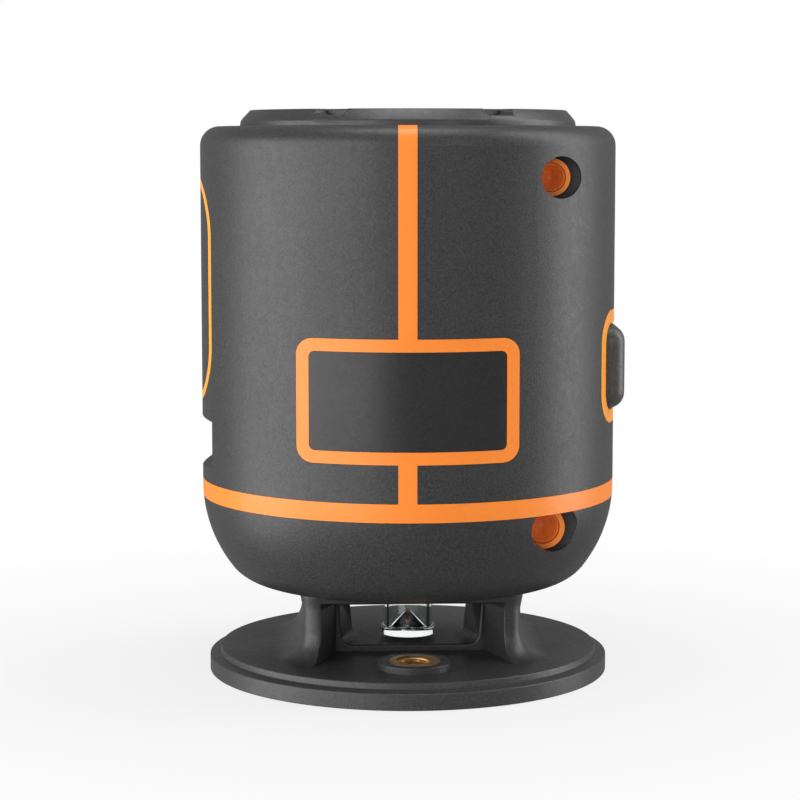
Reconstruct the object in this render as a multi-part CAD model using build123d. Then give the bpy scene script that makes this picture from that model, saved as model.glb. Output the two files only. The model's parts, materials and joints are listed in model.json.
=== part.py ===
from build123d import *
import math
import os

# Line laser level: a drum-shaped head that swivels on a round foot. Millimetres, +Z up.
# The origin is the middle of the foot's underside. The label side faces -Y, the keypad -X.

# Head outline, turned about Z
body_r = 40.0
head_bottom_z = 18.0
head_top_z = 105.8
bowl_top_z = 37.0
bowl_arc_r = 26.0
bowl_edge_r = 8.0
top_edge_r = 3.7
jacket_t = 1.6
wall_t = 2.0
top_open_r = 31.6
housing_in_r = body_r - jacket_t - wall_t

# Clearances
bond_gap = 0.05
fit_gap = 0.1
run_gap = 0.05
slide_gap = 0.3
seam_gap = 0.1

# Orange ribs that show between the dark skins
stripe_w = 3.42
band_low_z = 34.76
band_h = 3.43
frame_w = 40.36
frame_h = 22.58
frame_mid_z = 56.55
frame_rib = 2.3
frame_corner_r = 3.0
frame_inner_r = 1.1
window_w = 17.0
window_h = 48.0
window_mid_z = 75.0
window_rib = 1.3
window_corner_r = 7.5
pane_t = 1.8
pane_set_back = 0.4

# Keypad on the -X side
keypad_w = 30.36
keypad_h = 42.3
keypad_mid_z = 74.7
keypad_corner_r = 11.0
keypad_rib = 1.55
trim_depth = 3.4
key_r = 4.0
key_pitch = 11.0
key_flange_r = 4.9
key_flange_t = 0.7
key_travel = 0.5
switch_w = 6.0
switch_h = 2.4
actuator_r = 1.75

# Side button on the +X side
bezel_w = 32.8
bezel_h = 21.5
bezel_rib = 2.5
bezel_corner_r = 6.2
button_mid_z = 60.25
button_proud = 1.3
button_depth = 7.0
button_face_x = body_r + button_proud
button_back_x = button_face_x - button_depth
button_edge_r = 3.0
button_tab_w = 16.0
button_tab_t = 1.4
button_tab_reach = 1.5
button_wall = 1.8
button_travel = 1.2
brake_stem_r = 2.2
brake_pad_r = 2.4
brake_pad_len = 3.2
brake_gap = 0.3
switch_stem_y = -9.0
switch_stem_r = 1.6

# Charging notch on the -X side
port_z = 45.8
port_flat_h = 8.6
port_rise_high = 0.32
port_rise_low = 1.03
port_depth = 2.93
port_flat_x = body_r - port_depth
port_len = 40.0
port_back_t = 1.6
port_back_margin = 1.5
flap_t = 1.0
flap_h = 6.9
flap_len = 18.6
flap_plug_h = 1.8
flap_plug_len = 7.0
flap_plug_in = 1.0
socket_w = 8.94
socket_h = 3.26
socket_wall = 0.36
socket_mouth_x = port_flat_x - flap_t - fit_gap
socket_tongue_t = 0.7

# Screw tunnels from the label side: a round dark mouth, with the orange screw boss off-centre in it
upper_tunnel_in = 13.85
upper_tunnel_x = body_r - upper_tunnel_in
upper_tunnel_z = 96.4
lower_tunnel_in = 15.0
lower_tunnel_x = body_r - lower_tunnel_in
lower_tunnel_z = 31.8
lower_size = 1.17
mouth_r = 3.85
mouth_shift = 1.8
mouth_depth = 0.4
mouth_edge_x = upper_tunnel_x + mouth_shift + mouth_r
mouth_floor_y = mouth_depth - math.sqrt(body_r ** 2 - mouth_edge_x ** 2)
boss_lip_r = 3.5
boss_lip_up = 2.0
boss_lip_y = mouth_floor_y - boss_lip_up
liner_t = 0.8
tunnel_wall = 0.8
tube_t = liner_t + bond_gap + tunnel_wall
seat_bore_r = 2.7
seat_depth = 4.4
screw_seat_y = boss_lip_y + seat_depth
seat_t = 3.0
boss_end_y = screw_seat_y + seat_t
boss_r = 4.3
screw_r = 1.45
screw_head_r = 2.5
screw_head_h = 2.2
screw_len = 13.0
recess_w = 0.6
recess_len = 3.25

# Battery tray, cells and cap
cell_r = 7.15
cell_len = 49.0
cell_nub_r = 2.6
cell_nub_h = 1.5
cell_gap = 0.2
tray_floor_z = 86.2
tray_wall = 1.6
tray_side_room = 0.7
spring_room = 3.7
contact_t = 0.5
tray_well_w = 4 * cell_r + cell_gap + 2 * tray_side_room
tray_well_len = cell_len + cell_nub_h + spring_room + 2 * contact_t
tray_deck_z = 99.4
tray_deck_t = 1.6
tray_ring_r = 30.6
tray_ring_t = 0.8
tray_ring_top_z = 105.45
tray_flange_gap = 1.0
tray_flange_r = housing_in_r - tray_flange_gap
tray_flange_t = 1.6
tray_ledge_gap = 1.2
tray_ledge_t = 1.5
tray_boss_r = 2.3
tray_boss_x = 18.7
tray_boss_h = 5.5
contact_w = 7.6
spring_r = 2.8
spring_wire_r = 0.35
spring_pitch = 1.2
cap_r = 32.35
cap_top_r = 30.45
cap_rim_h = 0.92
cap_h = 3.0
cap_t = 2.4
cap_skirt_r = 29.0
cap_skirt_t = 1.6
lug_angle = 18.0
lug_gap_angle = 26.0
lug_reach = 1.2
lug_t = 1.3
lug_count = 3
cap_twist = 40.0
ledge_t = 1.2
seal_t = 0.35
pocket_count = 6
pocket_turn = 2.8
pocket_w = 6.2
pocket_depth = 1.2
pocket_corner_r = 0.8
pocket_in_r = 26.4

# Boards
board_t = 1.6
main_board_w = 34.0
main_board_low_z = 42.0
main_board_high_z = 82.0
main_board_in = 7.4
main_board_y = main_board_in - housing_in_r
post_r = 2.6
post_in = 4.0
buzzer_r = 4.5
buzzer_h = 4.5
keypad_board_in = 4.4
keypad_board_x = housing_in_r - keypad_board_in
keypad_board_w = 25.2
keypad_board_low_z = 40.0
keypad_board_high_z = 92.0
button_board_in = 7.2
button_board_x = housing_in_r - button_board_in
button_board_w = 26.0
button_board_h = 13.3
channel_grip = 1.2
channel_side = 1.6
power_switch_w = 5.0
power_switch_len = 2.6
lead_r = 0.6
lead_len = 9.0
lead_x = 6.0

# Gimbal and pendulum
pivot_z = 68.0
ring_share = 0.55
ring_t = 4.2
ring_r = ring_share * body_r
ring_in_r = ring_r - ring_t
ring_h = 8.4
pin_r = 1.5
bearing_r = 3.0
bearing_w = 3.0
yoke_gap = 1.2
yoke_arm_x = ring_r + yoke_gap
yoke_arm_t = 3.6
yoke_arm_w = 9.6
yoke_plate_w = 16.0
yoke_plate_t = 3.0
small_screw_r = 1.1
small_head_r = 1.9
small_head_h = 1.5
hub_core_gap = 6.3
hub_core_r = ring_in_r - hub_core_gap
hub_core_top = 5.0
hub_boss_r = 4.0
hub_boss_gap = 1.4
hub_boss_y = ring_in_r - hub_boss_gap
pin_grip = 6.8
saddle_w = 12.8
saddle_len = 18.0
saddle_top = 13.8
line_laser_z = 9.0
line_laser_r = 3.8
line_laser_back = 8.0
line_mouth_in = 1.4
line_laser_front = ring_r - line_mouth_in
line_bore_r = 2.6
line_bore_len = 12.0
line_lens_in = 2.0
line_lens_y = line_laser_front - line_lens_in
line_lens_r = 1.6
line_lens_len = 7.0
weight_top = 6.4
weight_bottom_share = 0.727
weight_bottom = weight_bottom_share * ring_r
balance_hole_r = 1.89
balance_x_share = 0.227
balance_y_share = 0.523
balance_hole_x = balance_x_share * ring_r
balance_hole_y = balance_y_share * ring_r
barrel_r = 4.6
barrel_top = 2.5
barrel_nose_r = 3.7
barrel_nose_z = 15.0
barrel_bore_r = 3.05
barrel_bore_top_z = 40.0
lens_t = 1.8
diode_r = 2.8
diode_h = 4.0
glass_r = 4.82
glass_wall = 1.0
glass_top_z = 20.0
glass_low_z = 6.5
glass_floor_t = 1.2
glass_foot_r = 5.3
glass_foot_h = 1.8
cone_r = 3.2
cone_foot_h = 0.5
damper_room = 3.4
damper_r = lower_tunnel_x - lower_size * boss_r - damper_room
damper_z = 30.6
damper_t = 1.5
damper_sleeve_r = 6.6
damper_sleeve_h = 4.0
trim_screw_r = 1.25
trim_screw_len = 4.0
trim_slot_w = 0.5
trim_share = 0.41
trim_screw_x = trim_share * ring_r
magnet_r = 3.4
magnet_h = 4.0
magnet_ring_r = 19.6
magnet_post_r = 3.9
magnet_post_z = 23.4

# Foot and pedestal
foot_in = 1.1
foot_r = body_r - foot_in
foot_wall_low_z = 0.1
foot_wall_top_z = 3.25
shoulder_in = 1.95
shoulder_r = foot_r - shoulder_in
shoulder_z = 3.65
plateau_in = 2.15
plateau_r = foot_r - plateau_in
plateau_z = 4.8
base_turn = 3.0
neck_w = 41.5
neck_d = 36.0
neck_corner_r = 3.0
neck_top_z = 17.7
neck_flare_r = 5.5
collar_low_z = 14.4
collar_out = 0.65
mouth_half = 17.4
window_half = 13.52
jamb_lean = 0.37
jamb_ledge = 0.5
throat_half = 11.2
sill_half = 9.0
sill_z = 6.0
chamber_corner_r = 2.0
chamber_top_z = 14.2
roof_rise = 0.21
roof_from = 10.4
pad_in = 2.1
pad_out_r = foot_r - pad_in
pad_hole_r = 6.0
pad_t = 0.8
insert_in = 15.2
insert_y = foot_r - insert_in
insert_r = 4.3
insert_flange_r = 4.95
insert_flange_t = 0.5
insert_top_z = 6.2
insert_low_z = 0.5
insert_bore_r = 3.175
insert_boss_r = 6.8
insert_boss_top_z = 6.1

# Swivel between foot and head
hub_bore_r = 8.9
hub_tube_r = 10.7
hub_shoulder_r = 11.9
hub_flange_r = 13.4
hub_flange_z = 15.75
hub_flange_t = 0.75
shelf_z = 15.7
retainer_r = 14.7
retainer_low_z = 16.6
retainer_top_z = 17.6
ear_end_x = 17.6
ear_w = 3.6
retainer_screw_x = 16.2
retainer_screw_r = 0.6
retainer_screw_len = 2.1
retainer_head_r = 1.2
retainer_head_h = 0.5
nut_r = 13.5
nut_h = 2.4

low = (Align.CENTER, Align.CENTER, Align.MIN)
reach = 60.0
parts = {}


# Plain solids between two positions

def rod_x(r, x0, x1, y=0.0, z=0.0):
    return Pos(x0, y, z) * Rot(0, 90, 0) * Cylinder(r, x1 - x0, align=low)


def rod_y(r, y0, y1, x=0.0, z=0.0):
    return Pos(x, y0, z) * Rot(-90, 0, 0) * Cylinder(r, y1 - y0, align=low)


def rod_z(r, z0, z1, x=0.0, y=0.0):
    return Pos(x, y, z0) * Cylinder(r, z1 - z0, align=low)


def ring_z(r_out, r_in, z0, z1, x=0.0, y=0.0):
    return rod_z(r_out, z0, z1, x, y) - rod_z(r_in, z0 - 1, z1 + 1, x, y)


def block(x0, x1, y0, y1, z0, z1):
    place = Pos((x0 + x1) / 2, (y0 + y1) / 2, (z0 + z1) / 2)
    return place * Box(x1 - x0, y1 - y0, z1 - z0)


def prism_x(sketch, x0, x1):
    return extrude(Plane.YZ.offset(x0) * sketch, amount=x1 - x0)


def prism_y(sketch, y0, y1):
    return extrude(Plane.XZ.offset(-y0) * sketch, amount=y0 - y1)


def rounded(w, h, r, mid_z, grow=0.0):
    return Pos(0, mid_z) * RectangleRounded(w + 2 * grow, h + 2 * grow, r + grow)


def wedge_z(angle, turn, r, z0, z1):
    # Sector of a disc, angle degrees wide, centred on the direction turn.
    a0 = math.radians(turn - angle / 2)
    a1 = math.radians(turn + angle / 2)
    corner0 = (r * math.cos(a0), r * math.sin(a0))
    corner1 = (r * math.cos(a1), r * math.sin(a1))
    face = make_face(Polyline((0, 0), corner0, corner1, close=True))
    return extrude(Pos(0, 0, z0) * face, amount=z1 - z0)


def group(pieces):
    # Separate solids kept together in one node.
    return pieces[0] + pieces[1:]


def half(side):
    # The half of space in front of (+1) or behind (-1) the parting plane.
    return Pos(0, side * (reach + seam_gap) / 2, reach) * Box(4 * reach, reach, 4 * reach)


# Head outline at a depth under the outer surface, from the bottom hole to the top opening

def outline(depth, r_bottom, r_top):
    arc_c_r = body_r - bowl_arc_r
    edge_c_z = head_bottom_z + bowl_edge_r
    rise = bowl_top_z - edge_c_z
    edge_c_r = arc_c_r + math.sqrt((bowl_arc_r - bowl_edge_r) ** 2 - rise ** 2)
    split_a = -math.degrees(math.atan2(rise, edge_c_r - arc_c_r))
    top_c_r = body_r - top_edge_r
    top_c_z = head_top_z - top_edge_r
    floor_z = head_bottom_z + depth
    roof_z = head_top_z - depth
    return [
        Line((r_bottom, floor_z), (edge_c_r, floor_z)),
        CenterArc((edge_c_r, edge_c_z), bowl_edge_r - depth, -90, split_a + 90),
        CenterArc((arc_c_r, bowl_top_z), bowl_arc_r - depth, split_a, -split_a),
        Line((body_r - depth, bowl_top_z), (body_r - depth, top_c_z)),
        CenterArc((top_c_r, top_c_z), top_edge_r - depth, 0, 90),
        Line((top_c_r, roof_z), (r_top, roof_z)),
    ]


def skin(depth_out, depth_in, r_bottom):
    # Hollow turned shell between two depths.
    foot = Line((r_bottom, head_bottom_z + depth_out), (r_bottom, head_bottom_z + depth_in))
    head = Line((top_open_r, head_top_z - depth_out), (top_open_r, head_top_z - depth_in))
    outer = outline(depth_out, r_bottom, top_open_r)
    inner = outline(depth_in, r_bottom, top_open_r)
    return revolve(Plane.XZ * make_face([foot, head] + outer + inner), Axis.Z)


def core(depth):
    # Everything inside the outline at this depth.
    axis_line = Line((0, head_bottom_z + depth), (0, head_top_z - depth))
    return revolve(Plane.XZ * make_face([axis_line] + outline(depth, 0, 0)), Axis.Z)


button_board_low_z = button_mid_z - button_board_h / 2
button_board_high_z = button_mid_z + button_board_h / 2
keypad_channel_in = -keypad_board_x + channel_side
keypad_channel_out = -keypad_board_x - board_t - channel_side / 4
button_channel_in = button_board_x - channel_side / 2
button_channel_out = button_board_x + board_t + channel_side / 2
floor_hole_r = hub_tube_r + bond_gap
housing_floor_z = head_bottom_z + jacket_t + wall_t
housing_roof_z = head_top_z - jacket_t - wall_t
tray_flange_low_z = housing_roof_z - bond_gap - tray_flange_t
jacket_skin = skin(0, jacket_t - bond_gap, floor_hole_r)
housing_skin = skin(jacket_t, jacket_t + wall_t, floor_hole_r)
rib_skin = skin(0, jacket_t + wall_t / 4, floor_hole_r)
trim_skin = skin(0, trim_depth, floor_hole_r)
housing_core = core(jacket_t + wall_t / 4)
body_core = core(0)


# Regions of the skin that belong to the orange ribs

def band_region(grow):
    return rod_z(2 * body_r, band_low_z - grow, band_low_z + band_h + grow)


def rib_region(side, outer, inner, grow):
    # Stripe up to the top edge, outline round a panel, and the band.
    y0, y1 = sorted((0, side * reach))
    half_w = stripe_w / 2 + grow
    stripe = block(-half_w, half_w, y0, y1, band_low_z, head_top_z + 1)
    outline_ring = prism_y(outer, y0, y1) + stripe - prism_y(inner, y0, y1)
    return outline_ring + band_region(grow)


def frame_sketch(grow, rib):
    r = frame_inner_r if rib else frame_corner_r
    return rounded(frame_w - 2 * rib, frame_h - 2 * rib, r, frame_mid_z, grow)


def window_sketch(grow, rib):
    return rounded(window_w - 2 * rib, window_h - 2 * rib, window_corner_r - rib, window_mid_z, grow)


def rear_region(grow):
    return rib_region(-1, frame_sketch(grow, 0), frame_sketch(-grow, frame_rib), grow)


def front_region(grow):
    return rib_region(1, window_sketch(grow, 0), window_sketch(-grow, window_rib), grow)


# Openings through skin and housing for the side pieces

def keypad_oval(grow):
    return rounded(keypad_w, keypad_h, keypad_corner_r, keypad_mid_z, grow)


def bezel_outline(grow):
    return rounded(bezel_w, bezel_h, bezel_corner_r, button_mid_z, grow)


def port_groove(grow):
    flat_h = port_flat_h / 2 + grow
    out_x = 2 * port_depth + grow
    high = flat_h + port_rise_high * out_x / port_depth
    low = flat_h + port_rise_low * out_x / port_depth
    points = [(0, flat_h), (-out_x, high), (-out_x, -low), (0, -flat_h)]
    face = make_face(Polyline(*points, close=True))
    return prism_y(Pos(grow - port_flat_x, port_z) * face, -port_len / 2, port_len / 2)


keypad_hole = prism_x(keypad_oval(fit_gap), -reach, -housing_in_r + 2 * wall_t)
keypad_hole -= rod_z(housing_in_r - 2 * fit_gap, 0, 2 * reach)
bezel_hole = prism_x(bezel_outline(fit_gap), button_channel_out, reach)
flap_pocket = block(-port_flat_x - 1, -port_flat_x + flap_t + bond_gap, -flap_len / 2 - fit_gap,
                    flap_len / 2 + slide_gap, port_z - flap_h / 2 - fit_gap, port_z + flap_h / 2 + fit_gap)
socket_hole = block(-body_r, -housing_in_r + wall_t, -socket_w / 2 - slide_gap, socket_w / 2 + slide_gap,
                    port_z - socket_h / 2 - slide_gap, port_z + socket_h / 2 + slide_gap)
side_holes = keypad_hole + bezel_hole + flap_pocket + socket_hole
jacket_cuts = side_holes + port_groove(0)
housing_cuts = side_holes + port_groove(liner_t + bond_gap)

tunnels = [(upper_tunnel_x, upper_tunnel_z, 1), (lower_tunnel_x, lower_tunnel_z, lower_size)]


def mouth(x, z, size, grow, end_y):
    # Round mouth along Y from outside the drum to end_y, off-centre to the screw.
    return rod_y(size * mouth_r + grow, -reach, end_y, x + size * mouth_shift, z)


# Channels in the housing that hold the edges of the upright side boards

def board_channel(side, x_in, x_out, edge_y, z0, z1):
    y0, y1 = sorted((side * (edge_y - channel_grip), side * housing_in_r * 0.75))
    xs = sorted((x_in, x_out))
    return block(xs[0], xs[1], y0, y1, z0, z1)


def slot_cut(x_face, edge_y, z0, z1):
    x0, x1 = sorted((x_face, x_face + math.copysign(board_t, x_face)))
    half_w = edge_y + fit_gap
    return block(x0 - bond_gap, x1 + bond_gap, -half_w, half_w, z0 - fit_gap, z1 + fit_gap)


def channels(side):
    left = board_channel(side, keypad_channel_in, keypad_channel_out, keypad_board_w / 2,
                         keypad_board_low_z - channel_side, keypad_board_high_z)
    left -= slot_cut(-keypad_board_x, keypad_board_w / 2, keypad_board_low_z, reach * 2)
    right = board_channel(side, button_channel_in, button_channel_out, button_board_w / 2,
                          button_board_low_z - channel_side, button_board_high_z)
    right -= slot_cut(button_board_x, button_board_w / 2, button_board_low_z, reach * 2)
    return (left + right) & housing_core


def magnet_spots(side):
    turns = (45, 135) if side > 0 else (225, 315)
    angles = [math.radians(turn) for turn in turns]
    return [(magnet_ring_r * math.cos(a), magnet_ring_r * math.sin(a)) for a in angles]


def magnet_posts(side):
    low_z = housing_floor_z - wall_t / 2
    return group([rod_z(magnet_post_r, low_z, magnet_post_z, x, y) for x, y in magnet_spots(side)])


def tray_ledge(side):
    top_z = tray_flange_low_z - bond_gap
    ledge_in_r = tray_ring_r + tray_ring_t + tray_ledge_gap
    return ring_z(housing_in_r + wall_t / 4, ledge_in_r, top_z - tray_ledge_t, top_z) & half(side)


# Housing halves

def port_back(side):
    # Thickened wall behind the charging notch.
    half_y = flap_len / 2 + port_back_margin
    half_z = port_flat_h / 2 + liner_t + port_back_margin
    return block(-body_r, -housing_in_r + port_back_t, -half_y, half_y, port_z - half_z,
                 port_z + half_z) & housing_core & half(side)


def make_housings():
    rear = (housing_skin & half(-1)) + channels(-1) + magnet_posts(-1) + tray_ledge(-1) + port_back(-1)
    front = (housing_skin & half(1)) + channels(1) + magnet_posts(1) + tray_ledge(1) + port_back(1)
    for x, z, size in tunnels:
        rear -= rod_y(size * boss_r + slide_gap, boss_end_y, 0, x, z)
        rear += mouth(x, z, size, tube_t, mouth_floor_y + tube_t) & housing_core
        front += rod_y(size * boss_r, boss_end_y + bond_gap, reach, x, z) & housing_core
        rear += rod_y(size * boss_r, mouth_floor_y + tube_t / 2, boss_end_y, x, z)
        rear -= mouth(x, z, size, liner_t + bond_gap, mouth_floor_y + liner_t + bond_gap)
        rear += rod_y(size * boss_lip_r, boss_lip_y, mouth_floor_y + tube_t, x, z)
        rear -= rod_y(size * seat_bore_r, boss_lip_y - 1, screw_seat_y, x, z)
        rear -= rod_y(screw_r + fit_gap, screw_seat_y - 1, boss_end_y + 1, x, z)
        front -= rod_y(screw_r + bond_gap, boss_end_y, screw_seat_y + screw_len + fit_gap, x, z)
    for x, z in board_posts():
        rear += rod_y(post_r, -reach, main_board_y - board_t, x, z) & housing_core
        rear -= rod_y(small_screw_r + bond_gap, main_board_y - board_t - post_in - fit_gap, 0, x, z)
    rear += rib_skin & rear_region(0) & half(-1)
    front += rib_skin & front_region(0) & half(1)
    front -= prism_y(window_sketch(0, window_rib), 0, reach)
    parts["rear_housing"] = rear - housing_cuts
    parts["front_housing"] = front - housing_cuts


def board_posts():
    inset = post_r + 1.4
    xs = (-main_board_w / 2 + inset, main_board_w / 2 - inset)
    zs = (main_board_low_z + inset, main_board_high_z - inset)
    return [(x, z) for x in xs for z in zs]


# Dark skins moulded onto the housing halves

def make_jackets():
    lined_skin = jacket_skin + (port_groove(liner_t) & body_core)
    rear = (lined_skin & half(-1)) - rear_region(bond_gap) - jacket_cuts
    band = band_region(bond_gap) & skin(-1, jacket_t + wall_t / 4 + bond_gap, floor_hole_r)
    for x, z, size in tunnels:
        liner = mouth(x, z, size, liner_t, mouth_floor_y + liner_t) & body_core
        rear += liner - band
    for x, z, size in tunnels:
        rear -= mouth(x, z, size, 0, mouth_floor_y)
        rear -= rod_y(size * boss_lip_r + bond_gap, boss_lip_y - bond_gap, 0, x, z)
    front = (lined_skin & half(1)) - front_region(bond_gap) - jacket_cuts
    front -= prism_y(window_sketch(0, window_rib), 0, reach)
    panels = sorted(rear.solids(), key=lambda s: s.volume)
    bowls = [s for s in panels if s.center().Z < band_low_z]
    sides = [s for s in panels if s.center().Z > band_low_z]
    parts["rear_bowl_jacket"] = bowls[-1]
    parts["label_panel"] = min(sides, key=lambda s: abs(s.center().X))
    parts["rear_jacket_left"] = min(sides, key=lambda s: s.center().X)
    parts["rear_jacket_right"] = max(sides, key=lambda s: s.center().X)
    skins = front.solids()
    parts["front_bowl_jacket"] = min(skins, key=lambda s: s.center().Z)
    uppers = [s for s in skins if s.center().Z > band_low_z]
    parts["front_jacket_left"] = min(uppers, key=lambda s: s.center().X)
    parts["front_jacket_right"] = max(uppers, key=lambda s: s.center().X)


def make_window():
    pane = skin(pane_set_back, pane_set_back + pane_t, floor_hole_r)
    parts["front_window"] = pane & prism_y(window_sketch(-bond_gap, window_rib), 0, reach)


# Keypad: bezel, panel with key holes, keys, board with switches

def key_heights():
    return [keypad_mid_z + step * key_pitch for step in (1, 0, -1)]


def make_keypad():
    inner = keypad_oval(-keypad_rib)
    panel_sketch = keypad_oval(-keypad_rib - bond_gap)
    parts["keypad_bezel"] = trim_skin & (prism_x(keypad_oval(0), -reach, 0) - prism_x(inner, -reach, 0))
    panel = skin(0, jacket_t, floor_hole_r) & prism_x(panel_sketch, -reach, 0)
    flange_x = -(body_r - jacket_t) * math.cos(math.asin(key_flange_r / (body_r - jacket_t))) + slide_gap
    back_x = flange_x + key_flange_t
    switches = []
    for name, z in zip(("key_upper", "key_middle", "key_lower"), key_heights()):
        panel -= rod_x(key_r + slide_gap / 2, -reach, 0, 0, z)
        cap = rod_x(key_r, -reach, back_x, 0, z) & body_core
        parts[name] = cap + rod_x(key_flange_r, flange_x, back_x, 0, z)
        board_face = -keypad_board_x - board_t
        half_w = switch_w / 2
        body = block(board_face - switch_h, board_face, -half_w, half_w, z - half_w, z + half_w)
        body += rod_x(actuator_r, back_x + key_travel + fit_gap, board_face, 0, z)
        switches.append(body)
    parts["keypad_panel"] = panel
    parts["key_switches"] = group(switches)
    parts["keypad_board"] = block(-keypad_board_x - board_t, -keypad_board_x, -keypad_board_w / 2,
                                  keypad_board_w / 2, keypad_board_low_z, keypad_board_high_z)


# Charging socket and its flap, which swings about its +Y end

def make_port():
    board_face = -keypad_board_x - board_t
    corner_r = socket_h / 2 - bond_gap
    shell = prism_x(rounded(socket_w, socket_h, corner_r, port_z), -socket_mouth_x, board_face)
    hollow = prism_x(rounded(socket_w, socket_h, corner_r, port_z, -socket_wall),
                     -socket_mouth_x - 1, board_face - socket_wall)
    tongue_half = socket_w / 2 - 3 * socket_wall
    tongue = block(-socket_mouth_x + flap_plug_in, board_face, -tongue_half, tongue_half,
                   port_z - socket_tongue_t / 2, port_z + socket_tongue_t / 2)
    parts["charge_socket"] = shell - hollow + tongue
    flap_back = -port_flat_x + flap_t
    end_y = flap_len / 2 - flap_t / 2
    z0 = port_z - flap_h / 2
    z1 = port_z + flap_h / 2
    flap = block(-port_flat_x, flap_back, -flap_len / 2, end_y, z0, z1)
    flap += rod_z(flap_t / 2, z0, z1, -port_flat_x + flap_t / 2, end_y)
    plug_x = -socket_mouth_x + flap_plug_in / 2
    flap += block(flap_back, plug_x, -flap_plug_len / 2, flap_plug_len / 2,
                  port_z - flap_plug_h / 2, port_z + flap_plug_h / 2)
    parts["port_flap"] = flap


# Side button with its brake stem, bezel, board and switch

def make_button():
    opening_w = bezel_w - 2 * bezel_rib
    opening_h = bezel_h - 2 * bezel_rib
    opening = rounded(opening_w, opening_h, bezel_corner_r - bezel_rib, button_mid_z)
    parts["button_bezel"] = trim_skin & (prism_x(bezel_outline(0), 0, reach) - prism_x(opening, 0, reach))
    cap = prism_x(rounded(opening_w, opening_h, bezel_corner_r - bezel_rib, button_mid_z, -slide_gap),
                  button_back_x, button_face_x)
    cap = fillet(cap.faces().sort_by(Axis.X)[-1].edges(), button_edge_r)
    pocket = rounded(opening_w, opening_h, bezel_corner_r - bezel_rib, button_mid_z, -slide_gap - button_wall)
    cap -= prism_x(pocket, button_back_x, button_face_x - 2 * button_wall)
    bezel_back = math.sqrt((body_r - trim_depth) ** 2 - (button_tab_w / 2) ** 2)
    tab_x = bezel_back - slide_gap
    for side in (-1, 1):
        inner_z = side * (opening_h / 2 - slide_gap - button_wall)
        outer_z = side * (opening_h / 2 + button_tab_reach)
        z0, z1 = sorted((inner_z, outer_z))
        cap += block(tab_x - button_tab_t, tab_x, -button_tab_w / 2, button_tab_w / 2,
                     button_mid_z + z0, button_mid_z + z1)
    drop = pivot_z - button_mid_z
    sphere_r = ring_r + brake_gap
    pad_x = button_travel + math.sqrt(sphere_r ** 2 - (drop - brake_pad_r) ** 2) + brake_pad_len
    cap += rod_x(brake_stem_r, pad_x, button_face_x - button_wall, 0, button_mid_z)
    switch_face_x = button_board_x + board_t + power_switch_len
    cap += rod_x(switch_stem_r, switch_face_x + button_travel + fit_gap, button_face_x - button_wall,
                 switch_stem_y, button_mid_z)
    parts["power_button"] = cap
    pad = rod_x(brake_pad_r, pad_x - 2 * brake_pad_len, pad_x, 0, button_mid_z)
    parts["brake_pad"] = pad - Pos(button_travel, 0, pivot_z) * Sphere(sphere_r)
    board = block(button_board_x, button_board_x + board_t, -button_board_w / 2, button_board_w / 2,
                  button_board_low_z, button_board_high_z)
    parts["button_board"] = board - rod_x(brake_pad_r + 2 * slide_gap, 0, reach, 0, button_mid_z)
    half_w = power_switch_w / 2
    parts["power_switch"] = block(button_board_x + board_t, switch_face_x, switch_stem_y - half_w,
                                  switch_stem_y + half_w, button_mid_z - half_w, button_mid_z + half_w)


# Main board behind the label, with its screws and the buzzer

def make_main_board():
    board = block(-main_board_w / 2, main_board_w / 2, main_board_y - board_t, main_board_y,
                  main_board_low_z, main_board_high_z)
    screws = []
    for x, z in board_posts():
        board -= rod_y(small_screw_r + bond_gap, main_board_y - board_t - 1, main_board_y + 1, x, z)
        screw = rod_y(small_head_r, main_board_y, main_board_y + small_head_h, x, z)
        screw += rod_y(small_screw_r, main_board_y - board_t - post_in, main_board_y, x, z)
        screws.append(screw)
    parts["main_board"] = board
    parts["board_screws"] = group(screws)
    buzzer_z = main_board_low_z + 2 * buzzer_r
    sound_hole = rod_y(buzzer_r / 4, main_board_y + buzzer_h / 2, main_board_y + buzzer_h + 1, 0, buzzer_z)
    parts["buzzer"] = rod_y(buzzer_r, main_board_y, main_board_y + buzzer_h, 0, buzzer_z) - sound_hole


def make_housing_screws():
    screws = []
    for x, z, size in tunnels:
        screw = rod_y(size * screw_head_r, screw_seat_y - screw_head_h, screw_seat_y, x, z)
        screw += rod_y(screw_r, screw_seat_y, screw_seat_y + screw_len, x, z)
        for w, h in ((recess_len, recess_w), (recess_w, recess_len)):
            screw -= prism_y(Pos(x, z) * Rectangle(w, h), screw_seat_y - screw_head_h - 1,
                             screw_seat_y - screw_head_h / 2)
        screws.append(screw)
    parts["housing_screws"] = group(screws)


# Battery tray with the bayonet ledge, cells, contacts, cap and seal

cell_z = tray_floor_z + tray_wall + fit_gap + cell_r


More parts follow.
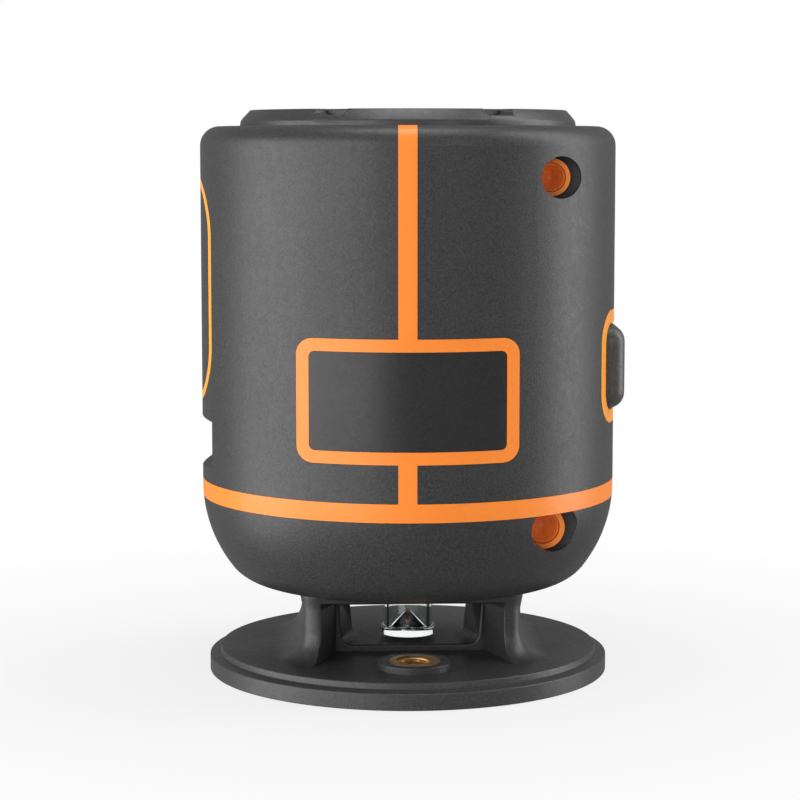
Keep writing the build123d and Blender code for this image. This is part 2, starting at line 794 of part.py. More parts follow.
def make_tray():
    out_w = tray_well_w / 2 + tray_wall
    out_len = tray_well_len / 2 + tray_wall
    ring_out_r = tray_ring_r + tray_ring_t
    deck_top_z = tray_deck_z + tray_deck_t
    tray = block(-out_w, out_w, -out_len, out_len, tray_floor_z, deck_top_z) & rod_z(ring_out_r, 0, 2 * reach)
    tray += rod_z(ring_out_r, tray_deck_z, tray_ring_top_z)
    tray += rod_z(tray_flange_r, tray_flange_low_z, tray_flange_low_z + tray_flange_t)
    for side in (-1, 1):
        x = side * tray_boss_x
        boss = rod_z(tray_boss_r, tray_floor_z, tray_floor_z + tray_boss_h + tray_wall, x)
        tray += boss - rod_z(small_screw_r + bond_gap, tray_floor_z - 1, tray_floor_z + tray_boss_h, x)
    well = block(-tray_well_w / 2, tray_well_w / 2, -tray_well_len / 2, tray_well_len / 2,
                 tray_floor_z + tray_wall, tray_ring_top_z + 1)
    tray -= well & rod_z(tray_ring_r - tray_wall / 2, 0, 2 * reach)
    tray -= rod_z(tray_ring_r, deck_top_z, tray_ring_top_z + 1)
    ledge_low = ledge_low_z()
    ledge = ring_z(tray_ring_r + tray_ring_t / 2, cap_skirt_r + slide_gap, ledge_low, ledge_low + ledge_t)
    for i in range(lug_count):
        turn = i * 360 / lug_count + cap_twist
        ledge -= wedge_z(lug_gap_angle, turn, 2 * body_r, ledge_low - 1, head_top_z)
    tray += ledge
    tray -= rod_y(boss_r + slide_gap, mouth_floor_y, reach, upper_tunnel_x, upper_tunnel_z)
    cup_end_y = mouth_floor_y + tube_t + slide_gap
    tray -= mouth(upper_tunnel_x, upper_tunnel_z, 1, tube_t + slide_gap, cup_end_y)
    parts["battery_tray"] = tray


def ledge_low_z():
    return tray_ring_top_z - ledge_t - slide_gap


def make_cells():
    cells = []
    contacts = []
    leads = []
    plate_y = tray_well_len / 2 - contact_t
    half_w = contact_w / 2
    spring_len = 2 * plate_y - cell_len - cell_nub_h - 2 * bond_gap - spring_wire_r
    path = Helix(spring_pitch, spring_len, spring_r)
    coil = sweep(Plane(path @ 0, z_dir=path % 0) * Circle(spring_wire_r), path=path)
    for side in (-1, 1):
        x = side * (cell_r + cell_gap / 2)
        nub_y = side * (plate_y - bond_gap)
        y0, y1 = sorted((nub_y, nub_y - side * cell_nub_h))
        end_y = nub_y - side * cell_nub_h
        c0, c1 = sorted((end_y, end_y - side * cell_len))
        cell = rod_y(cell_r, c0, c1, x, cell_z) + rod_y(cell_nub_r, y0, y1, x, cell_z)
        cells.append(cell)
        for plate_side in (-1, 1):
            p0, p1 = sorted((plate_side * plate_y, plate_side * (plate_y + contact_t)))
            plate = block(x - half_w, x + half_w, p0, p1, cell_z - half_w, cell_z + half_w)
            if plate_side == -side:
                plate += Pos(x, plate_side * plate_y, cell_z) * Rot(90 * plate_side, 0, 0) * coil
            contacts.append(plate)
        lead_y = main_board_y + lead_r + bond_gap
        leads.append(rod_z(lead_r, tray_floor_z - lead_len, tray_floor_z, side * lead_x, lead_y))
    parts["battery_cells"] = group(cells)
    parts["battery_contacts"] = group(contacts)
    parts["battery_leads"] = group(leads)


def make_cap():
    rim_z = tray_ring_top_z + seal_t + run_gap
    slope_z = rim_z + cap_rim_h
    top_z = rim_z + cap_h
    corners = [(0, rim_z), (cap_r, rim_z), (cap_r, slope_z), (cap_top_r, top_z), (0, top_z)]
    profile = Polyline(*corners, close=True)
    cap = revolve(Plane.XZ * make_face(profile), Axis.Z)
    pocket_mid_z = top_z + pocket_depth
    pocket = prism_x(rounded(pocket_w, 4 * pocket_depth, pocket_corner_r, pocket_mid_z), pocket_in_r, reach)
    for i in range(pocket_count):
        cap -= Rot(0, 0, pocket_turn + (i + 0.5) * 360 / pocket_count + 90) * pocket
    ledge_low = ledge_low_z()
    lug_top = ledge_low - slide_gap
    skirt = ring_z(cap_skirt_r, cap_skirt_r - cap_skirt_t, lug_top - lug_t, rim_z + cap_t / 2)
    lugs = ring_z(cap_skirt_r + lug_reach, cap_skirt_r - cap_skirt_t / 2, lug_top - lug_t, lug_top)
    for i in range(lug_count):
        skirt += lugs & wedge_z(lug_angle, i * 360 / lug_count, 2 * body_r, 0, 2 * reach)
    hollow = rod_z(cap_skirt_r - cap_skirt_t, 0, top_z - cap_t)
    parts["battery_cap"] = cap + skirt - hollow
    seal_low_z = tray_ring_top_z
    parts["cap_seal"] = ring_z(tray_ring_r + tray_ring_t, tray_ring_r, seal_low_z, seal_low_z + seal_t)


# Gimbal: yoke under the tray, ring about X, pendulum about Y

def make_gimbal():
    plate_low = tray_floor_z - bond_gap - yoke_plate_t
    arm_out = yoke_arm_x + yoke_arm_t
    yoke = block(-arm_out, arm_out, -yoke_plate_w / 2, yoke_plate_w / 2, plate_low, plate_low + yoke_plate_t)
    screws = []
    for side in (-1, 1):
        x0, x1 = sorted((side * yoke_arm_x, side * arm_out))
        yoke += block(x0, x1, -yoke_arm_w / 2, yoke_arm_w / 2, pivot_z, plate_low + yoke_plate_t)
        yoke += rod_x(yoke_arm_w / 2, x0, x1, 0, pivot_z)
    for side in (-1, 1):
        x0, x1 = sorted((side * yoke_arm_x, side * arm_out))
        yoke -= rod_x(bearing_r + bond_gap, x0 - 1, x1 + 1, 0, pivot_z)
        yoke -= rod_z(small_screw_r + bond_gap, 0, 2 * reach, side * tray_boss_x)
        screw = rod_z(small_head_r, plate_low - small_head_h, plate_low, side * tray_boss_x)
        screw += rod_z(small_screw_r, plate_low, tray_floor_z + tray_boss_h * 0.8, side * tray_boss_x)
        screws.append(screw)
    parts["gimbal_yoke"] = yoke
    parts["yoke_screws"] = group(screws)
    ring = ring_z(ring_r, ring_in_r, pivot_z - ring_h / 2, pivot_z + ring_h / 2)
    ring -= rod_y(bearing_r + bond_gap, -reach, reach, 0, pivot_z)
    ring -= rod_x(pin_r + bond_gap, -reach, reach, 0, pivot_z)
    parts["gimbal_ring"] = ring
    groups = {"yoke_bearings": [], "ring_bearings": [], "ring_pins": [], "pendulum_pins": []}
    yoke_bearing_mid = yoke_arm_x + yoke_arm_t / 2
    ring_bearing_mid = (ring_r + ring_in_r) / 2
    bore_r = pin_r + run_gap
    for side in (-1, 1):
        bx = side * yoke_bearing_mid - bearing_w / 2
        by = side * ring_bearing_mid - bearing_w / 2
        px = sorted((side * (ring_in_r + fit_gap), side * (yoke_bearing_mid + bearing_w / 2)))
        py = sorted((side * (hub_boss_y - pin_grip), side * (ring_bearing_mid + bearing_w / 2)))
        yoke_bearing = rod_x(bearing_r, bx, bx + bearing_w, 0, pivot_z)
        ring_bearing = rod_y(bearing_r, by, by + bearing_w, 0, pivot_z)
        groups["yoke_bearings"].append(yoke_bearing - rod_x(bore_r, -reach, reach, 0, pivot_z))
        groups["ring_bearings"].append(ring_bearing - rod_y(bore_r, -reach, reach, 0, pivot_z))
        groups["ring_pins"].append(rod_x(pin_r, px[0], px[1], 0, pivot_z))
        groups["pendulum_pins"].append(rod_y(pin_r, py[0], py[1], 0, pivot_z))
    for name, pieces in groups.items():
        parts[name] = group(pieces)


def make_pendulum():
    weight_high_z = pivot_z - weight_top
    core_low = weight_high_z + bond_gap
    frame = rod_z(hub_core_r, core_low, pivot_z + hub_core_top)
    frame += rod_y(hub_boss_r, -hub_boss_y, hub_boss_y, 0, pivot_z)
    frame += block(-saddle_w / 2, saddle_w / 2, -saddle_len / 2, saddle_len / 2,
                   pivot_z, pivot_z + saddle_top)
    frame -= rod_z(barrel_r + bond_gap, 0, pivot_z + barrel_top + fit_gap)
    laser_z = pivot_z + line_laser_z
    frame -= rod_y(line_laser_r + bond_gap, -reach, reach, 0, laser_z)
    for side in (-1, 1):
        y0, y1 = sorted((side * (hub_boss_y - pin_grip - bond_gap), side * reach))
        frame -= rod_y(pin_r + bond_gap, y0, y1, 0, pivot_z)
    parts["pendulum_frame"] = frame
    ball = Pos(0, 0, pivot_z) * Sphere(ring_r)
    weight = ball & rod_z(ring_r, pivot_z - weight_bottom, weight_high_z)
    weight -= rod_z(barrel_r + bond_gap, 0, 2 * reach)
    weight_low = pivot_z - weight_bottom
    trims = []
    trim_top = weight_low + trim_screw_len
    for side in (-1, 1):
        x = side * trim_screw_x
        weight -= rod_z(balance_hole_r, weight_low - 1, 2 * reach, side * balance_hole_x, balance_hole_y)
        weight -= rod_z(trim_screw_r + bond_gap, weight_low - 1, trim_top + fit_gap, x)
        trim = rod_z(trim_screw_r, weight_low, trim_top, x)
        trim -= block(x - trim_screw_r, x + trim_screw_r, -trim_slot_w / 2, trim_slot_w / 2,
                      weight_low - 1, weight_low + trim_slot_w)
        trims.append(trim)
    parts["counterweight"] = weight
    parts["trim_screws"] = group(trims)
    tube = rod_y(line_laser_r, -line_laser_back, line_laser_front, 0, laser_z)
    tube -= rod_y(line_bore_r, line_laser_front - line_bore_len, reach, 0, laser_z)
    lens_half = line_lens_len / 2
    tube -= rod_x(line_lens_r + bond_gap, -lens_half - fit_gap, lens_half + fit_gap, line_lens_y, laser_z)
    parts["vertical_laser"] = tube
    parts["line_lens"] = rod_x(line_lens_r, -lens_half, lens_half, line_lens_y, laser_z)
    barrel_low = glass_top_z + bond_gap
    barrel = rod_z(barrel_r, barrel_low, pivot_z + barrel_top)
    barrel += rod_z(barrel_nose_r, barrel_nose_z, barrel_low)
    barrel -= rod_z(barrel_bore_r, 0, barrel_bore_top_z)
    parts["bottom_laser"] = barrel
    lens_low = barrel_nose_z + lens_t / 4
    parts["collimator_lens"] = rod_z(barrel_bore_r - bond_gap, lens_low, lens_low + lens_t)
    down_diode = rod_z(diode_r, barrel_bore_top_z - diode_h, barrel_bore_top_z)
    bore_floor = line_laser_front - line_bore_len
    line_diode = rod_y(min(diode_r, line_bore_r - bond_gap), bore_floor, bore_floor + diode_h, 0, laser_z)
    parts["laser_diodes"] = down_diode + line_diode
    glass = rod_z(glass_r, glass_low_z, glass_top_z)
    glass += rod_z(glass_foot_r, glass_low_z, glass_low_z + glass_foot_h)
    glass -= rod_z(glass_r - glass_wall, glass_low_z + glass_floor_t, glass_top_z + 1)
    parts["emitter_glass"] = glass
    cone_low = glass_low_z + glass_floor_t
    cone = rod_z(cone_r, cone_low, cone_low + cone_foot_h)
    cone += Pos(0, 0, cone_low + cone_foot_h) * Cone(cone_r, 0, cone_r, align=low)
    parts["cone_prism"] = cone
    damper = rod_z(damper_r, damper_z, damper_z + damper_t)
    damper += rod_z(damper_sleeve_r, damper_z, damper_z + damper_t + damper_sleeve_h)
    parts["damping_plate"] = damper - rod_z(barrel_r + bond_gap, 0, 2 * reach)
    spots = magnet_spots(-1) + magnet_spots(1)
    magnets = [rod_z(magnet_r, magnet_post_z, magnet_post_z + magnet_h, x, y) for x, y in spots]
    parts["damping_magnets"] = group(magnets)


# Foot, pedestal and swivel

def chamber_section(half_w, y):
    low_half = half_w - jamb_lean
    high_half = half_w + jamb_lean
    right = [(low_half, sill_z), (high_half, chamber_top_z)]
    left = [(-high_half, chamber_top_z), (-low_half, sill_z)]
    sketch = make_face(Polyline(*right, *left, close=True))
    sketch = fillet(sketch.vertices().group_by(Axis.Y)[0], chamber_corner_r)
    return (Plane.XZ.offset(-y) * sketch).face()


def cut_chamber(body):
    # See-through chamber: narrow throat over a raised sill, splayed mouths down to the plateau.
    deep = neck_d / 2 + neck_flare_r + 1
    near_half = window_half + jamb_lean + jamb_ledge
    splay = (mouth_half - near_half) / (neck_d / 2 - sill_half)
    far_half = near_half + splay * (deep - sill_half)
    for side in (-1, 1):
        y = side * sill_half
        body -= loft([chamber_section(window_half, y), chamber_section(throat_half, 0)], ruled=True)
        far_y = side * deep
        corners = [(near_half, y), (far_half, far_y), (-far_half, far_y), (-near_half, y)]
        mouth = make_face(Polyline(*corners, close=True))
        body -= extrude(Pos(0, 0, plateau_z) * mouth, amount=chamber_top_z - plateau_z)
        high_z = chamber_top_z + roof_rise * (deep - roof_from)
        low_y = side * roof_from
        slope = Polyline((low_y, chamber_top_z), (far_y, high_z), (far_y, chamber_top_z), close=True)
        roof = make_face(slope)
        body -= prism_x(roof, -reach, reach) & extrude(Pos(0, 0, plateau_z) * mouth, amount=reach)
    return body


def make_pedestal():
    profile = Polyline((0, foot_wall_low_z), (foot_r, foot_wall_low_z), (foot_r, foot_wall_top_z),
                       (shoulder_r, shoulder_z), (plateau_r, plateau_z), (0, plateau_z), close=True)
    foot = revolve(Plane.XZ * make_face(profile), Axis.Z)
    neck = extrude(Pos(0, 0, plateau_z - 1) * RectangleRounded(neck_w, neck_d, neck_corner_r),
                   amount=neck_top_z - plateau_z + 1)
    collar_low = Pos(0, 0, collar_low_z) * RectangleRounded(neck_w, neck_d, neck_corner_r)
    collar_w = neck_w + 2 * collar_out
    collar_d = neck_d + 2 * collar_out
    collar_top = Pos(0, 0, neck_top_z) * RectangleRounded(collar_w, collar_d, neck_corner_r + collar_out)
    body = foot + neck + loft([collar_low.face(), collar_top.face()], ruled=True)
    level = [e for e in body.edges() if abs(e.center().Z - plateau_z) < 0.01]
    body = fillet([e for e in level if e.bounding_box().size.X < neck_w + 1], neck_flare_r)
    body = cut_chamber(body)
    body += rod_z(insert_boss_r, plateau_z - 1, insert_boss_top_z, 0, -insert_y)
    pad_pocket = rod_z(pad_out_r + bond_gap, -1, pad_t + bond_gap)
    body -= pad_pocket - rod_z(pad_hole_r - bond_gap, -2, reach, 0, -insert_y)
    body -= rod_z(insert_r + bond_gap, -1, reach, 0, -insert_y)
    flange_low_z = insert_top_z - insert_flange_t - bond_gap
    body -= rod_z(insert_flange_r + bond_gap, flange_low_z, reach, 0, -insert_y)
    body -= rod_z(hub_bore_r, (sill_z + chamber_top_z) / 2, reach)
    body -= rod_z(hub_flange_r + slide_gap, shelf_z, reach)
    body -= retainer_shape(fit_gap, retainer_low_z - bond_gap, reach)
    for x in (-retainer_screw_x, retainer_screw_x):
        body -= rod_z(retainer_screw_r + bond_gap, retainer_screw_low_z - fit_gap, reach, x)
    return body


retainer_head_z = retainer_top_z - bond_gap - retainer_head_h
retainer_screw_low_z = retainer_head_z - retainer_screw_len


def retainer_shape(grow, z0, z1):
    end_x = ear_end_x + grow
    half_w = ear_w / 2 + grow
    return rod_z(retainer_r + grow, z0, z1) + block(-end_x, end_x, -half_w, half_w, z0, z1)


def make_retainer():
    retainer = retainer_shape(0, retainer_low_z, retainer_top_z) - rod_z(hub_shoulder_r + slide_gap, 0, reach)
    screws = []
    for x in (-retainer_screw_x, retainer_screw_x):
        retainer -= rod_z(retainer_screw_r + bond_gap, 0, reach, x)
        retainer -= rod_z(retainer_head_r + bond_gap, retainer_head_z, reach, x)
        screw = rod_z(retainer_head_r, retainer_head_z, retainer_head_z + retainer_head_h, x)
        screws.append(screw + rod_z(retainer_screw_r, retainer_screw_low_z, retainer_head_z, x))
    return retainer, group(screws)


def make_base():
    turned = Rot(0, 0, base_turn)
    parts["pedestal"] = turned * make_pedestal()
    insert = rod_z(insert_r, insert_low_z, insert_top_z, 0, -insert_y)
    insert += rod_z(insert_flange_r, insert_top_z - insert_flange_t, insert_top_z, 0, -insert_y)
    parts["tripod_insert"] = turned * (insert - rod_z(insert_bore_r, -1, reach, 0, -insert_y))
    parts["foot_pad"] = turned * (rod_z(pad_out_r, 0, pad_t) - rod_z(pad_hole_r, -1, reach, 0, -insert_y))
    retainer, screws = make_retainer()
    parts["swivel_retainer"] = turned * retainer
    parts["retainer_screws"] = turned * screws


def make_swivel():
    flange_top = hub_flange_z + hub_flange_t
    hub = rod_z(hub_flange_r, hub_flange_z, flange_top)
    hub += rod_z(hub_shoulder_r, hub_flange_z, head_bottom_z - bond_gap)
    hub += rod_z(hub_tube_r, hub_flange_z, housing_floor_z + bond_gap + nut_h)
    parts["swivel_hub"] = hub - rod_z(hub_bore_r, 0, reach)
    nut_low = housing_floor_z + bond_gap
    parts["swivel_nut"] = ring_z(nut_r, hub_tube_r + bond_gap, nut_low, nut_low + nut_h)


make_housings()
make_jackets()
make_window()
make_keypad()
make_port()
make_button()
make_main_board()
make_housing_screws()
make_tray()
make_cells()
make_cap()
make_gimbal()
make_pendulum()
make_base()
make_swivel()

os.makedirs("parts", exist_ok=True)
for name, shape in parts.items():
    export_step(shape, f"parts/{name}.step")
print(len(parts), "nodes")
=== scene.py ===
import bpy
import bmesh
import json
import math
from mathutils import Matrix, Vector

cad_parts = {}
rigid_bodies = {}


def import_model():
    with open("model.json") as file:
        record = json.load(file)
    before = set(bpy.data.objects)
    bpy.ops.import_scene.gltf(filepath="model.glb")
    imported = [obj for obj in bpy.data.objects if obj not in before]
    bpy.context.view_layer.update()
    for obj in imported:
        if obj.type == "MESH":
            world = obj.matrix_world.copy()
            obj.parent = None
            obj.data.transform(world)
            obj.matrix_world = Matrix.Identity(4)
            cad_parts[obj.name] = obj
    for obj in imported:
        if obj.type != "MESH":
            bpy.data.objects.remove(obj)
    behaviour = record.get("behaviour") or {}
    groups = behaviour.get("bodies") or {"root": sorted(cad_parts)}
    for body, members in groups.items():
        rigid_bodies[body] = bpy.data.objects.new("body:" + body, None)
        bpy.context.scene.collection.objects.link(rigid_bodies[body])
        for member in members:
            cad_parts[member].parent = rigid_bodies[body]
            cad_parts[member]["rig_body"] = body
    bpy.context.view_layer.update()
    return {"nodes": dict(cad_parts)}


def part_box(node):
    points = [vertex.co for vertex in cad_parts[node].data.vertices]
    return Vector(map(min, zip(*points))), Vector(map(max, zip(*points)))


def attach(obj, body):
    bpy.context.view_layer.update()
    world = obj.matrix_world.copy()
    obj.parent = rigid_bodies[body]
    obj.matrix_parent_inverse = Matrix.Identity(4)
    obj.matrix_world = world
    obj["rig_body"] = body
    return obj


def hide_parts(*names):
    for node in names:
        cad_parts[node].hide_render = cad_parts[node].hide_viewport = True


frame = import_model()
nodes = frame["nodes"]
mm = 0.001
planeGap = 0.02  # mm within which a corner counts as on a plane
print("frame loaded:", len(nodes), "nodes")


# Shader groups: effects that several finishes share

def shaderGroup(name, inputs, outputs):
    tree = bpy.data.node_groups.new(name, "ShaderNodeTree")
    for label, value in inputs:
        socket = tree.interface.new_socket(name=label, in_out="INPUT", socket_type="NodeSocketFloat")
        socket.default_value = value
    for label in outputs:
        tree.interface.new_socket(name=label, in_out="OUTPUT", socket_type="NodeSocketFloat")
    start = tree.nodes.new("NodeGroupInput")
    end = tree.nodes.new("NodeGroupOutput")
    coord = tree.nodes.new("ShaderNodeTexCoord")
    return tree, start, end, coord


def noiseNode(tree, vector, scale, detail, rough=0.5):
    node = tree.nodes.new("ShaderNodeTexNoise")
    node.inputs["Detail"].default_value = detail
    node.inputs["Roughness"].default_value = rough
    tree.links.new(vector, node.inputs["Vector"])
    if isinstance(scale, (int, float)):
        node.inputs["Scale"].default_value = scale
    else:
        tree.links.new(scale, node.inputs["Scale"])
    return node.outputs["Fac"]


def mathNode(tree, kind, a, b=0.0, clamp=False):
    node = tree.nodes.new("ShaderNodeMath")
    node.operation = kind
    node.use_clamp = clamp
    for socket, value in zip(node.inputs, (a, b)):
        if isinstance(value, (int, float)):
            socket.default_value = value
        else:
            tree.links.new(value, socket)
    return node.outputs[0]


def rangeNode(tree, value, fromLow, fromHigh, toLow, toHigh):
    node = tree.nodes.new("ShaderNodeMapRange")
    tree.links.new(value, node.inputs["Value"])
    labels = ("From Min", "From Max", "To Min", "To Max")
    for label, number in zip(labels, (fromLow, fromHigh, toLow, toHigh)):
        node.inputs[label].default_value = number
    return node.outputs["Result"]


grainShares = {"fine": 0.6, "pits": 0.5, "coarse": 0.4}  # of the height
coarseScale = 0.31  # of the fine grain's scale
dustScale = 45.0  # of the smears' scale
toneScale = 0.15  # of the tool lines' scale


def makeMouldedGrain():  # spark-eroded tool texture of moulded plastic
    tree, start, end, coord = shaderGroup("mouldedGrain", [("Scale", 3000.0)], ["Height", "Shade", "Gloss"])
    where = coord.outputs["Object"]
    scale = start.outputs["Scale"]
    fine = noiseNode(tree, where, scale, 2.0, 0.6)
    coarse = noiseNode(tree, where, mathNode(tree, "MULTIPLY", scale, coarseScale), 1.0)
    cells = tree.nodes.new("ShaderNodeTexVoronoi")
    tree.links.new(where, cells.inputs["Vector"])
    tree.links.new(scale, cells.inputs["Scale"])
    height = mathNode(tree, "MULTIPLY", fine, grainShares["fine"])
    for layer, share in ((cells.outputs["Distance"], grainShares["pits"]), (coarse, grainShares["coarse"])):
        height = mathNode(tree, "ADD", height, mathNode(tree, "MULTIPLY", layer, share))
    tree.links.new(height, end.inputs["Height"])
    tree.links.new(rangeNode(tree, fine, 0.3, 0.7, 0.0, 1.0), end.inputs["Shade"])
    tree.links.new(rangeNode(tree, coarse, 0.25, 0.75, 0.0, 1.0), end.inputs["Gloss"])
    return tree


def makeHandling():  # faint smears from hands and cloths
    tree, start, end, coord = shaderGroup("handling", [("Scale", 60.0)], ["Smear", "Dust"])
    scale = start.outputs["Scale"]
    turn = tree.nodes.new("ShaderNodeMapping")
    tree.links.new(coord.outputs["Object"], turn.inputs["Vector"])
    turn.inputs["Rotation"].default_value = (0.4, 0.3, 0.7)
    smear = noiseNode(tree, turn.outputs["Vector"], scale, 3.0, 0.55)
    dust = noiseNode(tree, coord.outputs["Object"], mathNode(tree, "MULTIPLY", scale, dustScale), 1.0)
    tree.links.new(rangeNode(tree, smear, 0.35, 0.7, 0.0, 1.0), end.inputs["Smear"])
    tree.links.new(rangeNode(tree, dust, 0.66, 0.78, 0.0, 1.0), end.inputs["Dust"])
    return tree


def makeTurnedMetal():  # fine tool lines round the Z axis, with a soft tone change
    tree, start, end, coord = shaderGroup("turnedMetal", [("Scale", 900.0)], ["Lines", "Tone"])
    scale = start.outputs["Scale"]
    squeeze = tree.nodes.new("ShaderNodeMapping")
    tree.links.new(coord.outputs["Object"], squeeze.inputs["Vector"])
    squeeze.inputs["Scale"].default_value = (0.06, 0.06, 2.2)
    lines = noiseNode(tree, squeeze.outputs["Vector"], scale, 3.0, 0.65)
    tone = noiseNode(tree, coord.outputs["Object"], mathNode(tree, "MULTIPLY", scale, toneScale), 2.0)
    tree.links.new(rangeNode(tree, lines, 0.3, 0.7, 0.0, 1.0), end.inputs["Lines"])
    tree.links.new(rangeNode(tree, tone, 0.3, 0.7, 0.0, 1.0), end.inputs["Tone"])
    return tree


mouldedGrain = makeMouldedGrain()
handling = makeHandling()
turnedMetal = makeTurnedMetal()
print("shader groups built")


# Finishes

def newFinish(name):
    finish = bpy.data.materials.new(name)
    finish.use_nodes = True
    tree = finish.node_tree
    shader = tree.nodes["Principled BSDF"]
    return finish, tree, shader


def groupNode(tree, group, **values):
    node = tree.nodes.new("ShaderNodeGroup")
    node.node_tree = group
    for label, value in values.items():
        node.inputs[label].default_value = value
    return node


def twoTone(tree, mask, first, second):
    node = tree.nodes.new("ShaderNodeMix")
    node.data_type = "RGBA"
    tree.links.new(mask, node.inputs["Factor"])
    for label, colour in (("A", first), ("B", second)):
        socket = [s for s in node.inputs if s.name == label and s.type == "RGBA"][0]
        if hasattr(colour, "links"):
            tree.links.new(colour, socket)
        else:
            socket.default_value = (*colour, 1.0)
    return [s for s in node.outputs if s.type == "RGBA"][0]


def bumpNode(tree, height, depth, shader):
    node = tree.nodes.new("ShaderNodeBump")
    node.inputs["Strength"].default_value = 1.0
    node.inputs["Distance"].default_value = depth
    tree.links.new(height, node.inputs["Height"])
    tree.links.new(node.outputs["Normal"], shader.inputs["Normal"])


plasticWear = {"smear": 60.0, "smearGloss": 0.05, "dust": 0.03, "dustColour": (0.45, 0.44, 0.42), "ior": 1.5}


def mouldedPlastic(name, ownLook):
    look = {**plasticWear, **ownLook}
    finish, tree, shader = newFinish(name)
    grain = groupNode(tree, mouldedGrain, Scale=look["grain"])
    hand = groupNode(tree, handling, Scale=look["smear"])
    colour = twoTone(tree, grain.outputs["Shade"], look["dark"], look["light"])
    dust = mathNode(tree, "MULTIPLY", hand.outputs["Dust"], look["dust"])
    colour = twoTone(tree, dust, colour, look["dustColour"])
    tree.links.new(colour, shader.inputs["Base Color"])
    low, high = look["rough"]
    gloss = rangeNode(tree, grain.outputs["Gloss"], 0.0, 1.0, low, high)
    smear = mathNode(tree, "MULTIPLY", hand.outputs["Smear"], look["smearGloss"])
    rough = mathNode(tree, "SUBTRACT", gloss, smear)
    if "matt" in look:  # coarser tool texture above a height
        height, extra = look["matt"]
        coord = tree.nodes.new("ShaderNodeTexCoord")
        axes = tree.nodes.new("ShaderNodeSeparateXYZ")
        tree.links.new(coord.outputs["Object"], axes.inputs["Vector"])
        above = mathNode(tree, "GREATER_THAN", axes.outputs["Z"], height)
        rough = mathNode(tree, "ADD", rough, mathNode(tree, "MULTIPLY", above, extra))
    tree.links.new(rough, shader.inputs["Roughness"])
    shader.inputs["IOR"].default_value = look["ior"]
    bumpNode(tree, grain.outputs["Height"], look["depth"], shader)
    return finish


def turned(name, look):
    finish, tree, shader = newFinish(name)
    work = groupNode(tree, turnedMetal, Scale=look["scale"])
    colour = twoTone(tree, work.outputs["Tone"], look["dark"], look["light"])
    tree.links.new(colour, shader.inputs["Base Color"])
    shader.inputs["Metallic"].default_value = 1.0
    low, high = look["rough"]
    tree.links.new(rangeNode(tree, work.outputs["Lines"], 0.0, 1.0, low, high), shader.inputs["Roughness"])
    bumpNode(tree, work.outputs["Lines"], look["depth"], shader)
    return finish


def clear(name, look):
    finish, tree, shader = newFinish(name)
    hand = groupNode(tree, handling, Scale=look["smear"])
    shader.inputs["Base Color"].default_value = (*look["tint"], 1.0)
    shader.inputs["Transmission Weight"].default_value = 1.0
    shader.inputs["IOR"].default_value = look["ior"]
    low, high = look["rough"]
    tree.links.new(rangeNode(tree, hand.outputs["Smear"], 0.0, 1.0, low, high), shader.inputs["Roughness"])
    return finish


def printedBoard(name, look):
    finish, tree, shader = newFinish(name)
    coord = tree.nodes.new("ShaderNodeTexCoord")
    traces = tree.nodes.new("ShaderNodeTexBrick")
    traces.inputs["Scale"].default_value = look["traces"]
    traces.inputs["Mortar Size"].default_value = look["gap"]
    tree.links.new(coord.outputs["Object"], traces.inputs["Vector"])
    colour = twoTone(tree, traces.outputs["Fac"], look["mask"], look["copper"])
    tree.links.new(colour, shader.inputs["Base Color"])
    hand = groupNode(tree, handling, Scale=look["smear"])
    low, high = look["rough"]
    tree.links.new(rangeNode(tree, hand.outputs["Smear"], 0.0, 1.0, low, high), shader.inputs["Roughness"])
    bumpNode(tree, traces.outputs["Fac"], look["depth"], shader)
    return finish


def cellWrap(name, look):
    finish, tree, shader = newFinish(name)
    coord = tree.nodes.new("ShaderNodeTexCoord")
    axes = tree.nodes.new("ShaderNodeSeparateXYZ")
    tree.links.new(coord.outputs["Object"], axes.inputs["Vector"])
    # X times Y has the same sign at each cell's plus end
    along = mathNode(tree, "MULTIPLY", axes.outputs["X"], axes.outputs["Y"])
    plusEnd = mathNode(tree, "GREATER_THAN", along, look["bandFrom"])
    grain = groupNode(tree, mouldedGrain, Scale=look["grain"])
    body = twoTone(tree, grain.outputs["Shade"], look["body"], look["bodyLight"])
    colour = twoTone(tree, plusEnd, body, look["band"])
    tree.links.new(colour, shader.inputs["Base Color"])
    low, high = look["rough"]
    tree.links.new(rangeNode(tree, grain.outputs["Gloss"], 0.0, 1.0, low, high), shader.inputs["Roughness"])
    return finish


